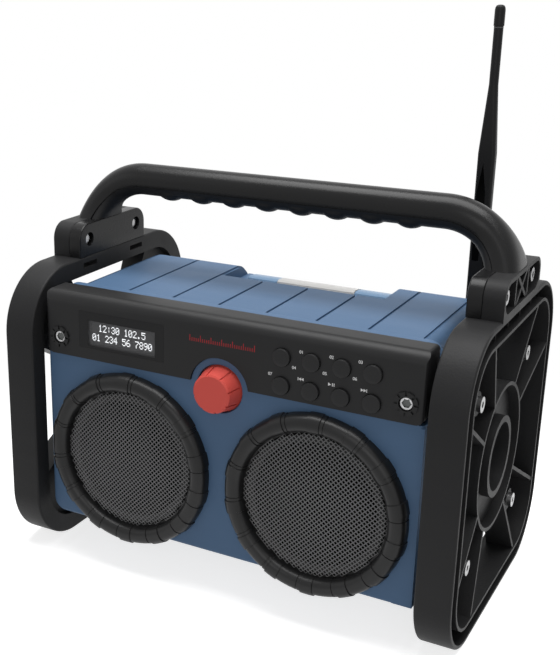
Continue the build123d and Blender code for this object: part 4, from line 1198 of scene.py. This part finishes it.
# --------------------------------------------------------------------------- loudspeakers
@dataclass
class BumperRing:
    """One rubber ring round a loudspeaker: a rounded rim with raised bands, each with a line beside it.

    The three lists of angles, in degrees, are one band's sections: its line, the raised band and the
    plain rim up to the next line.
    """

    side: Side
    centre: Point = (71.6, 90.0)
    foot_y: float = -95.76
    height: float = 8.95
    middle: float = 57.95
    half: float = 6.5
    power: float = 2.5
    lift: float = 0.7
    line_depth: float = 0.45
    bands: int = 14
    first_band: float = 90.0
    line_angles: tuple[float, ...] = (-7.5, -7.3, -6.7, -6.5)
    band_angles: tuple[float, ...] = (-4.4, -4.15, -1.4, 1.4, 4.15, 4.4)
    plain_angles: tuple[float, ...] = (7.6, 10.9, 14.4)
    around: int = 20
    inner_foot: Point = (44.0, 0.9)
    crease_angle: float = 30.0

    def turns(self) -> list[Point]:
        """Lists the sections round the ring.

        Returns:
            (angle in degrees, lift of the rim) of each section.
        """
        marks = []
        for angles, lift in ((self.line_angles, -self.line_depth), (self.band_angles, self.lift)):
            last = len(angles) - 1
            marks += [(angle, lift if 0 < index < last else 0.0) for index, angle in enumerate(angles)]
        marks += [(angle, 0.0) for angle in self.plain_angles]
        starts = [self.first_band + number * (360.0 / self.bands) for number in range(self.bands)]
        return [(start + angle, lift) for start in starts for angle, lift in marks]

    def section(self, lift: float) -> list[Point]:
        """Gives the rim's section, from the outer foot over the crown to the inner foot.

        Args:
            lift: how far the rim is raised here.

        Returns:
            (radius, rise) of each point.
        """
        points = []
        for index in range(self.around):
            turn = math.pi * index / self.around
            out, rise = math.cos(turn), math.sin(turn)
            wide = self.half + (lift if out > 0 else lift / 2)
            points.append((self.middle + math.copysign(abs(out) ** (2 / self.power), out) * wide,
                           rise ** (2 / self.power) * (self.height + lift)))
        radius, rise = self.inner_foot
        return points + [(self.middle - self.half, rise), (radius, rise), (radius, 0.0)]

    def fill(self, work: Work) -> None:
        """Fills the ring.

        Args:
            work: the bmesh to add to.
        """
        x, z = self.side.value * self.centre[0], self.centre[1]
        loops = []
        for angle, lift in self.turns():
            out, rise = math.cos(math.radians(angle)), math.sin(math.radians(angle))
            loops.append([work.verts.new(((x + radius * out) * MM, (self.foot_y - along) * MM,
                                          (z + radius * rise) * MM)) for radius, along in self.section(lift)])
        bridge(work, loops + loops[:1])
        bmesh.ops.recalc_face_normals(work, faces=work.faces)

    def build(self) -> None:
        """Builds the ring and stands it in for the CAD one."""
        piece = mesh_piece(f"{self.side.word}_bumper_form", self.fill, BUMPER.build())
        crease(piece, self.crease_angle)
        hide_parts(f"{self.side.word}_speaker_ring")
        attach(piece, "radio")
        log.info("%s bumper ring built", self.side.word)


@dataclass
class SpeakerGrille:
    """The square-hole mesh inside a bumper ring, laid diagonally over a shallow dome, with a cloth of painted
    shade behind it.

    The cloth's disc is (radius, depth behind the crown) of its loops, and its edge is the depths of the
    four loops of the turned rim.
    """

    side: Side
    centre_x: float = 71.6
    centre_z: float = 90.0
    crown_y: float = -99.4
    radius: float = 50.2
    dome: float = 1.6
    dome_power: float = 2.4
    pitch: float = 2.42
    hole: float = 1.74
    depth: float = 0.34
    edge_drop: float = 0.12
    hole_drop: float = 0.16
    overlap: float = 1.002
    weld: float = 0.02
    lay_angle: float = 45.0
    cloth_disc: tuple[Point, ...] = ((20.0, 2.4), (40.0, 3.4))
    cloth_edge: tuple[float, ...] = (3.9, 2.2, 1.6, 3.0)
    cloth_rim: float = 0.8
    cloth_segments: int = 64

    def fill_cell(self, work: Work) -> None:
        """Fills one cell of the mesh, face up: a square hole with sloped sides.

        Args:
            work: the bmesh to add to.
        """
        half = self.pitch / 2 * self.overlap
        gap = self.hole / 2
        squares = ((half, -self.edge_drop), ((half + gap) / 2, 0.0),
                   (gap, -self.hole_drop), (gap, -self.depth))
        bridge(work, [[work.verts.new((a * reach * MM, b * reach * MM, height * MM)) for a, b in CORNERS]
                      for reach, height in squares])

    def grid(self, pattern: PatternTree, away: Socket, radius: Socket) -> Socket:
        """Makes the cells' places: a square grid cut to a circle.

        Args:
            pattern: the mesh's tree.
            away: distance of a point from the middle.
            radius: radius of the circle.

        Returns:
            The socket with the points.
        """
        count = int(2 * self.radius / self.pitch) + 3
        span = math_node(pattern.tree, "MULTIPLY", pattern.size("Pitch", self.pitch * MM), count - 1)
        grid = pattern.add("GeometryNodeMeshGrid")
        for axis in "XY":
            grid.inputs[f"Vertices {axis}"].default_value = count
            pattern.link(span, grid.inputs[f"Size {axis}"])
        outside = pattern.add("FunctionNodeCompare", operation="GREATER_THAN")
        pattern.link(away, outside.inputs[0])
        pattern.link(radius, outside.inputs[1])
        cull = pattern.add("GeometryNodeDeleteGeometry", domain="POINT")
        pattern.link(grid.outputs["Mesh"], cull.inputs["Geometry"])
        pattern.link(outside.outputs["Result"], cull.inputs["Selection"])
        return cull.outputs["Geometry"]

    def drape(self, pattern: PatternTree, copies: Socket, away: Socket, radius: Socket) -> Socket:
        """Joins the cells into one sheet and lowers it away from the middle.

        Args:
            pattern: the mesh's tree.
            copies: the laid-out cells.
            away: distance of a point from the middle.
            radius: radius of the mesh.

        Returns:
            The socket with the sheet.
        """
        tree = pattern.tree
        share = math_node(tree, "POWER", math_node(tree, "DIVIDE", away, radius), self.dome_power)
        fall = math_node(tree, "MULTIPLY", share, pattern.size("Dome", self.dome * MM))
        offset = pattern.add("ShaderNodeCombineXYZ")
        pattern.link(math_node(tree, "MULTIPLY", fall, -1.0), offset.inputs["Z"])
        real = pattern.add("GeometryNodeRealizeInstances")
        pattern.link(copies, real.inputs["Geometry"])
        merge = pattern.add("GeometryNodeMergeByDistance")
        merge.inputs["Distance"].default_value = self.weld * MM
        pattern.link(real.outputs["Geometry"], merge.inputs["Geometry"])
        lower = pattern.add("GeometryNodeSetPosition")
        pattern.link(merge.outputs["Geometry"], lower.inputs["Geometry"])
        pattern.link(offset.outputs[0], lower.inputs["Offset"])
        return lower.outputs["Geometry"]

    def mesh(self) -> Piece:
        """Makes the mesh with geometry nodes.

        Returns:
            The mesh as a plain piece.
        """
        cell = mesh_piece("mesh_cell", self.fill_cell, MESH_GREY.build())
        pattern = PatternTree(f"{self.side.word}_grille_tree")
        radius = pattern.size("Radius", self.radius * MM)
        place = pattern.add("GeometryNodeInputPosition")
        length = pattern.add("ShaderNodeVectorMath", operation="LENGTH")
        pattern.link(place.outputs[0], length.inputs[0])
        away = length.outputs["Value"]
        copies = pattern.copies(self.grid(pattern, away, radius), pattern.shape_of(cell))
        laid = pattern.moved(self.drape(pattern, copies, away, radius), (0.0, 0.0, self.lay_angle))
        centre = (self.side.value * self.centre_x * MM, self.crown_y * MM, self.centre_z * MM)
        upright = pattern.moved(laid, (90.0, 0.0, 0.0), centre)
        piece = pattern.finish(upright, MESH_GREY.build(), f"{self.side.word}_grille_mesh")
        bpy.data.objects.remove(cell)
        return piece

    def fill_cloth(self, work: Work) -> None:
        """Fills the disc of the cloth and its turned rim.

        Args:
            work: the bmesh to add to.
        """
        inner = self.radius - self.cloth_rim
        edge = list(zip((self.radius, self.radius, inner, inner), self.cloth_edge))
        turns = [2 * math.pi * index / self.cloth_segments for index in range(self.cloth_segments)]
        loops = []
        for reach, depth in (*self.cloth_disc, *edge):
            loops.append([work.verts.new(((self.side.value * self.centre_x + reach * math.cos(turn)) * MM,
                                          (self.crown_y + depth) * MM,
                                          (self.centre_z + reach * math.sin(turn)) * MM)) for turn in turns])
        work.faces.new(loops[0])
        bridge(work, loops)
        bmesh.ops.recalc_face_normals(work, faces=work.faces)

    def build(self) -> None:
        """Builds the mesh, which stands in for the CAD grille, and the cloth of painted shade behind it."""
        piece = self.mesh()
        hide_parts(f"{self.side.word}_speaker_grille")
        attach(piece, "radio")
        cloth = mesh_piece(f"{self.side.word}_grille_cloth", self.fill_cloth, CLOTH_SHADE_BLACK.build())
        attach(cloth, "radio")
        log.info("%s grille built", self.side.word)


# --------------------------------------------------------------------------- display and labels
# The display's digits, as rows of dots from the top down. Each row is a number whose bits are the dots.
GLYPH_WIDE = 5
GLYPH_TALL = 7
GLYPHS = {
    "0": (14, 17, 19, 21, 25, 17, 14), "1": (4, 12, 4, 4, 4, 4, 14), "2": (14, 17, 1, 2, 4, 8, 31),
    "3": (14, 17, 1, 6, 1, 17, 14), "4": (2, 6, 10, 18, 31, 2, 2), "5": (31, 16, 30, 1, 1, 17, 14),
    "6": (6, 8, 16, 30, 17, 17, 14), "7": (31, 1, 2, 4, 8, 8, 8), "8": (14, 17, 17, 14, 17, 17, 14),
    "9": (14, 17, 17, 15, 1, 2, 12), ":": (0, 4, 4, 0, 4, 4, 0), ".": (0, 0, 0, 0, 0, 12, 12),
    " ": (0, 0, 0, 0, 0, 0, 0),
}


@dataclass
class Display:
    """The dot-matrix display: a grey field and two lines of plain digits.

    A line's lift is measured from text_z up, and its advance from digit to digit is in dots.
    """

    centre_x: float = -77.3
    centre_z: float = 179.6
    width: float = 63.3
    height: float = 21.6
    face_y: float = -95.66
    field_near: float = 0.07
    field_far: float = 0.15
    text_z: float = 180.3
    dot_size: Spot = (0.56, 0.1, 0.66)
    pitch: float = 0.62
    rise: float = 0.745
    advance: float = 5.72
    lines: tuple[tuple[str, float], ...] = (("12:30 102.5", 3.9), ("01 234 56 7890", -3.3))

    def field(self) -> Piece:
        """Makes the grey field behind the digits.

        Returns:
            The field.
        """
        half_x, half_z = self.width / 2, self.height / 2
        points = box_points(self.centre_x - half_x, self.centre_z - half_z,
                            self.centre_x + half_x, self.centre_z + half_z)
        recipe = partial(add_slab, points=points, near=self.face_y + self.field_near,
                         far=self.face_y + self.field_far)
        return mesh_piece("display_field", recipe, SCREEN.build())

    def places(self) -> list[Spot]:
        """Lists the places of the lit dots.

        Returns:
            The middle of each dot, in metres.
        """
        places = []
        cell = self.pitch * self.advance
        for line, lift in self.lines:
            left = self.centre_x - cell * len(line) / 2 + cell * 0.5
            for index, char in enumerate(line):
                for y, bits in enumerate(GLYPHS[char]):
                    z = self.text_z + lift + (GLYPH_TALL // 2 - y) * self.rise
                    for x in range(GLYPH_WIDE):
                        if bits >> (GLYPH_WIDE - 1 - x) & 1:
                            across = left + index * cell + (x - GLYPH_WIDE // 2) * self.pitch
                            places.append((across * MM, self.face_y * MM, z * MM))
        return places

    def digits(self) -> Piece:
        """Makes every lit dot with geometry nodes, on the points of the digits.

        Returns:
            The dots as one plain piece.
        """
        cloud = bpy.data.meshes.new("dot_points")
        cloud.from_pydata(self.places(), [], [])
        holder = put("dot_points", cloud)
        pattern = PatternTree("display_dots_tree")
        sides = pattern.add("ShaderNodeCombineXYZ")
        for axis, label, size in zip("XYZ", ("Dot width", "Dot depth", "Dot height"), self.dot_size):
            pattern.link(pattern.size(label, size * MM), sides.inputs[axis])
        cube = pattern.add("GeometryNodeMeshCube")
        pattern.link(sides.outputs[0], cube.inputs["Size"])
        copies = pattern.copies(pattern.shape_of(holder), cube.outputs["Mesh"])
        piece = pattern.finish(copies, PIXEL.build(), "display_digits")
        bpy.data.objects.remove(holder)
        return piece

    def build(self) -> None:
        """Builds the field and its digits."""
        for piece in (self.field(), self.digits()):
            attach(piece, "radio")
        log.info("display built")


@dataclass
class PanelMarks:
    """The small printed marks on the control panel: numerals, transport arrows and a tick scale.

    A numeral is (text, x, z), and an arrow is (way, x, z) with way 0 for play and pause.
    """

    face_y: float = -97.25
    lift: float = 0.04
    digit_size: float = 2.9
    digit_weight: float = 0.06
    numerals: tuple[tuple[str, float, float], ...] = (
        ("01", 59.0, 193.9), ("02", 79.4, 194.1), ("03", 98.6, 194.3), ("04", 54.2, 182.6),
        ("05", 75.3, 182.6), ("06", 95.4, 182.8), ("07", 37.6, 175.6))
    arrows: tuple[tuple[int, float, float], ...] = ((-1, 59.4, 175.8), (0, 80.2, 176.1), (1, 101.4, 176.4))
    arrow_half: float = 1.1
    arrow_step: float = 0.9
    stop_bar: Point = (2.1, 0.22)
    play_reach: Point = (0.3, 2.3)
    pause_bars: Point = (0.6, 1.7)
    pause_half: float = 0.3
    ticks: int = 31
    tick_group: int = 5
    tick_first: float = -22.0
    tick_pitch: float = 1.6
    tick_half: float = 0.24
    tick_foot: float = 188.2
    tick_heights: Point = (2.4, 4.4)

    def slab(self, work: Work, points: Sequence[Point]) -> None:
        """Adds one thin mark on the panel's face."""
        add_slab(work, points, self.face_y - self.lift, self.face_y)

    def bar(self, work: Work, x: float, z: float, half: float) -> None:
        """Adds one upright bar beside an arrow."""
        self.slab(work, box_points(x - half, z - self.arrow_half, x + half, z + self.arrow_half))

    def numeral(self, text: str, x: float, z: float) -> bpy.types.Mesh:
        """Cuts one numeral from the built-in typeface.

        Args:
            text: what it says.
            x: place of its middle.
            z: height of its middle.

        Returns:
            Its mesh, in place.
        """
        curve = bpy.data.curves.new(f"numeral_{text}", "FONT")
        curve.body = text
        curve.size = self.digit_size * MM
        curve.align_x = "CENTER"
        curve.align_y = "CENTER"
        curve.offset = self.digit_weight * MM
        holder = put(curve.name, curve)
        graph = bpy.context.evaluated_depsgraph_get()
        mesh = bpy.data.meshes.new_from_object(holder.evaluated_get(graph))
        mesh.transform(Matrix.Translation((x * MM, (self.face_y - self.lift) * MM, z * MM))
                       @ Matrix.Rotation(math.radians(90), 4, "X"))
        bpy.data.objects.remove(holder)
        return mesh

    def fill_numerals(self, work: Work) -> None:
        """Fills the numerals."""
        for text, x, z in self.numerals:
            work.from_mesh(self.numeral(text, x, z))

    def fill_arrows(self, work: Work) -> None:
        """Fills the arrows for back, play and forward.

        Args:
            work: the bmesh to add to.
        """
        half = self.arrow_half
        bar_away, bar_half = self.stop_bar
        tip_away, back_away = self.play_reach
        for way, x, z in self.arrows:
            if way:
                for step in (-self.arrow_step, self.arrow_step):
                    tip = x + step + way * self.arrow_step
                    back = x + step - way * self.arrow_step
                    self.slab(work, [(tip, z), (back, z + half), (back, z - half)])
                self.bar(work, x + way * bar_away, z, bar_half)
            else:
                self.slab(work, [(x - tip_away, z), (x - back_away, z + half), (x - back_away, z - half)])
                for away in self.pause_bars:
                    self.bar(work, x + away, z, self.pause_half)

    def fill_scale(self, work: Work) -> None:
        """Fills the red ticks above the knob.

        Args:
            work: the bmesh to add to.
        """
        short, long = self.tick_heights
        for index in range(self.ticks):
            x = self.tick_first + index * self.tick_pitch
            top = self.tick_foot + (short if index % self.tick_group else long)
            self.slab(work, box_points(x - self.tick_half, self.tick_foot, x + self.tick_half, top))

    def build(self) -> None:
        """Builds every mark."""
        for name, recipe, finish, slot in (
                ("panel_numerals", self.fill_numerals, INK, "lens_white"),
                ("panel_arrows", self.fill_arrows, INK, "lens_white"),
                ("panel_scale", self.fill_scale, RED_INK, "knob_red")):
            piece = mesh_piece(name, recipe, finish.build())
            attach(piece, "radio")
        log.info("panel marks built")


# --------------------------------------------------------------------------- studio
@dataclass(frozen=True)
class SoftBox:
    """One rectangular soft light.

    Attributes:
        name: the lamp's name.
        spot: where it hangs, in metres.
        aim: the point it faces, in metres.
        size: its width and height, in metres.
        power: its strength in watts.
    """

    name: str
    spot: Spot
    aim: Spot
    size: Point
    power: float

    def hang(self) -> None:
        """Adds the lamp to the scene."""
        data = bpy.data.lights.new(self.name, "AREA")
        data.shape = "RECTANGLE"
        data.size, data.size_y = self.size
        data.energy = self.power
        lamp = put(self.name, data)
        lamp.location = self.spot
        lamp.rotation_euler = (Vector(self.aim) - Vector(self.spot)).to_track_quat("-Z", "Y").to_euler()


@dataclass
class Studio:
    """The pale floor, the soft lights and the camera.

    Attributes:
        focal: focal length, in the picture's points.
        centre: the point of the picture that the camera looks straight at.
        picture: width and height of the picture.
        eye: place of the camera, in millimetres.
        yaw: its turn to the left, in degrees.
        pitch: its tilt down, in degrees.
        sensor: height of its sensor, in millimetres.
        view_end: the furthest that it sees, in metres.
        fill: strength of the light from all round.
        fill_color: colour of that light.
        floor_grey: how much light the floor throws back.
        floor_lift: light added to the floor near the radio.
        floor_fade: distances between which the floor turns white, in metres.
        floor_half: half the floor's width, in metres.
        boxes: the soft lights.
    """

    focal: float = 1114.11
    centre: Point = (173.445, 339.244)
    picture: tuple[int, int] = (560, 655)
    eye: Spot = (325.512, -711.258, 423.68)
    yaw: float = 30.4
    pitch: float = 18.406
    sensor: float = 36.0
    view_end: float = 100.0
    fill: float = 0.24
    fill_color: tuple[float, float, float] = (0.97, 0.98, 1.0)
    floor_grey: float = 0.62
    floor_lift: float = 0.74
    floor_fade: Point = (0.16, 0.5)
    floor_half: float = 6.0
    boxes: tuple[SoftBox, ...] = (
        SoftBox("top_box", (0.0, 0.0, 1.6), (0.0, 0.0, 0.2), (1.6, 1.0), 33.0),
        SoftBox("front_box", (0.6, -1.5, 0.75), (0.05, 0.0, 0.12), (1.0, 1.0), 4.8),
        SoftBox("side_box", (-1.5, -1.2, 0.9), (0.0, 0.0, 0.12), (0.9, 0.9), 1.0))

    def camera(self) -> None:
        """Creates the camera at the chosen view."""
        wide, high = self.picture
        data = bpy.data.cameras.new("view")
        data.sensor_fit = "VERTICAL"
        data.sensor_height = self.sensor
        data.lens = self.focal / high * self.sensor
        data.shift_x = (wide / 2 - self.centre[0]) / high
        data.shift_y = (self.centre[1] - high / 2) / high
        data.clip_end = self.view_end
        camera = put("view", data)
        camera.location = Vector(self.eye) * MM
        camera.rotation_euler = (math.radians(90 - self.pitch), 0.0, math.radians(self.yaw))
        bpy.context.scene.camera = camera

    @staticmethod
    def seen_directly(tree: Tree) -> Socket:
        """Adds a mask of the rays that show the backdrop: from the camera, a gloss or a glass.

        Args:
            tree: the tree of the floor's or the world's shader.

        Returns:
            The socket that is 1 on such rays.
        """
        rays = add_node(tree, "ShaderNodeLightPath")
        shiny = math_node(tree, "MAXIMUM", rays.outputs["Is Glossy Ray"], rays.outputs["Is Transmission Ray"])
        return math_node(tree, "MAXIMUM", rays.outputs["Is Camera Ray"], shiny)

    @staticmethod
    def mix(tree: Tree, mask: Socket, plain: Socket, other: Socket) -> Socket:
        """Adds a Mix Shader node.

        Args:
            tree: the tree.
            mask: the share of the second shader.
            plain: the first shader.
            other: the second shader.

        Returns:
            The mixed shader.
        """
        mixer = add_node(tree, "ShaderNodeMixShader")
        for index, source in enumerate((mask, plain, other)):
            tree.links.new(source, mixer.inputs[index])
        return mixer.outputs[0]

    def floor_shader(self) -> bpy.types.Material:
        """Makes the floor's material: its shadow near the radio, plain white further out.

        Returns:
            The material.
        """
        material, tree = new_material("studio_floor")
        tree.nodes.clear()
        out = add_node(tree, "ShaderNodeOutputMaterial")
        diffuse = add_node(tree, "ShaderNodeBsdfDiffuse")
        diffuse.inputs["Color"].default_value = (self.floor_grey, self.floor_grey, self.floor_grey, 1.0)
        lift = feed(add_node(tree, "ShaderNodeEmission"), Strength=self.floor_lift)
        near = add_node(tree, "ShaderNodeAddShader")
        tree.links.new(diffuse.outputs[0], near.inputs[0])
        tree.links.new(lift.outputs[0], near.inputs[1])
        white = add_node(tree, "ShaderNodeEmission")
        place = add_node(tree, "ShaderNodeTexCoord").outputs["Object"]
        reach = add_node(tree, "ShaderNodeVectorMath", operation="LENGTH")
        tree.links.new(place, reach.inputs[0])
        fade = add_node(tree, "ShaderNodeMapRange", interpolation_type="SMOOTHSTEP")
        fade.inputs["From Min"].default_value, fade.inputs["From Max"].default_value = self.floor_fade
        tree.links.new(reach.outputs["Value"], fade.inputs["Value"])
        backdrop = self.mix(tree, fade.outputs["Result"], near.outputs[0], white.outputs[0])
        seen = self.mix(tree, self.seen_directly(tree), diffuse.outputs[0], backdrop)
        tree.links.new(seen, out.inputs["Surface"])
        return material

    def fill_floor(self, work: Work) -> None:
        """Fills the floor's square."""
        work.faces.new([work.verts.new((a * self.floor_half, b * self.floor_half, 0.0)) for a, b in CORNERS])

    def world(self) -> None:
        """Fills the surroundings with plain pale light, and shows them white."""
        world = bpy.data.worlds.new("studio")
        bpy.context.scene.world = world
        world.use_nodes = True
        tree = world.node_tree
        tree.nodes.clear()
        out = add_node(tree, "ShaderNodeOutputWorld")
        fill = feed(add_node(tree, "ShaderNodeBackground"), Color=(*self.fill_color, 1.0), Strength=self.fill)
        white = feed(add_node(tree, "ShaderNodeBackground"), Color=(1.0, 1.0, 1.0, 1.0), Strength=1.0)
        seen = self.mix(tree, self.seen_directly(tree), fill.outputs[0], white.outputs[0])
        tree.links.new(seen, out.inputs["Surface"])

    def build(self) -> None:
        """Builds the whole stage."""
        self.camera()
        piece = mesh_piece("studio_floor", self.fill_floor, self.floor_shader())
        self.world()
        for box in self.boxes:
            box.hang()
        bpy.context.scene.view_settings.view_transform = "Standard"
        log.info("studio built")


def main() -> None:
    """Builds every sub-assembly in order."""
    logging.basicConfig(level=logging.INFO, format="%(message)s")
    Studio().build()
    CadSkin().dress()
    CarryHandle().build()
    KnobSeat().build()
    HousingCorner().build()
    PanelScrews().build()
    KeyCaps().build()
    AntennaTrim().build()
    for side in Side:
        BumperRing(side).build()
        SpeakerGrille(side).build()
    Display().build()
    PanelMarks().build()


if __name__ == "__main__":
    main()
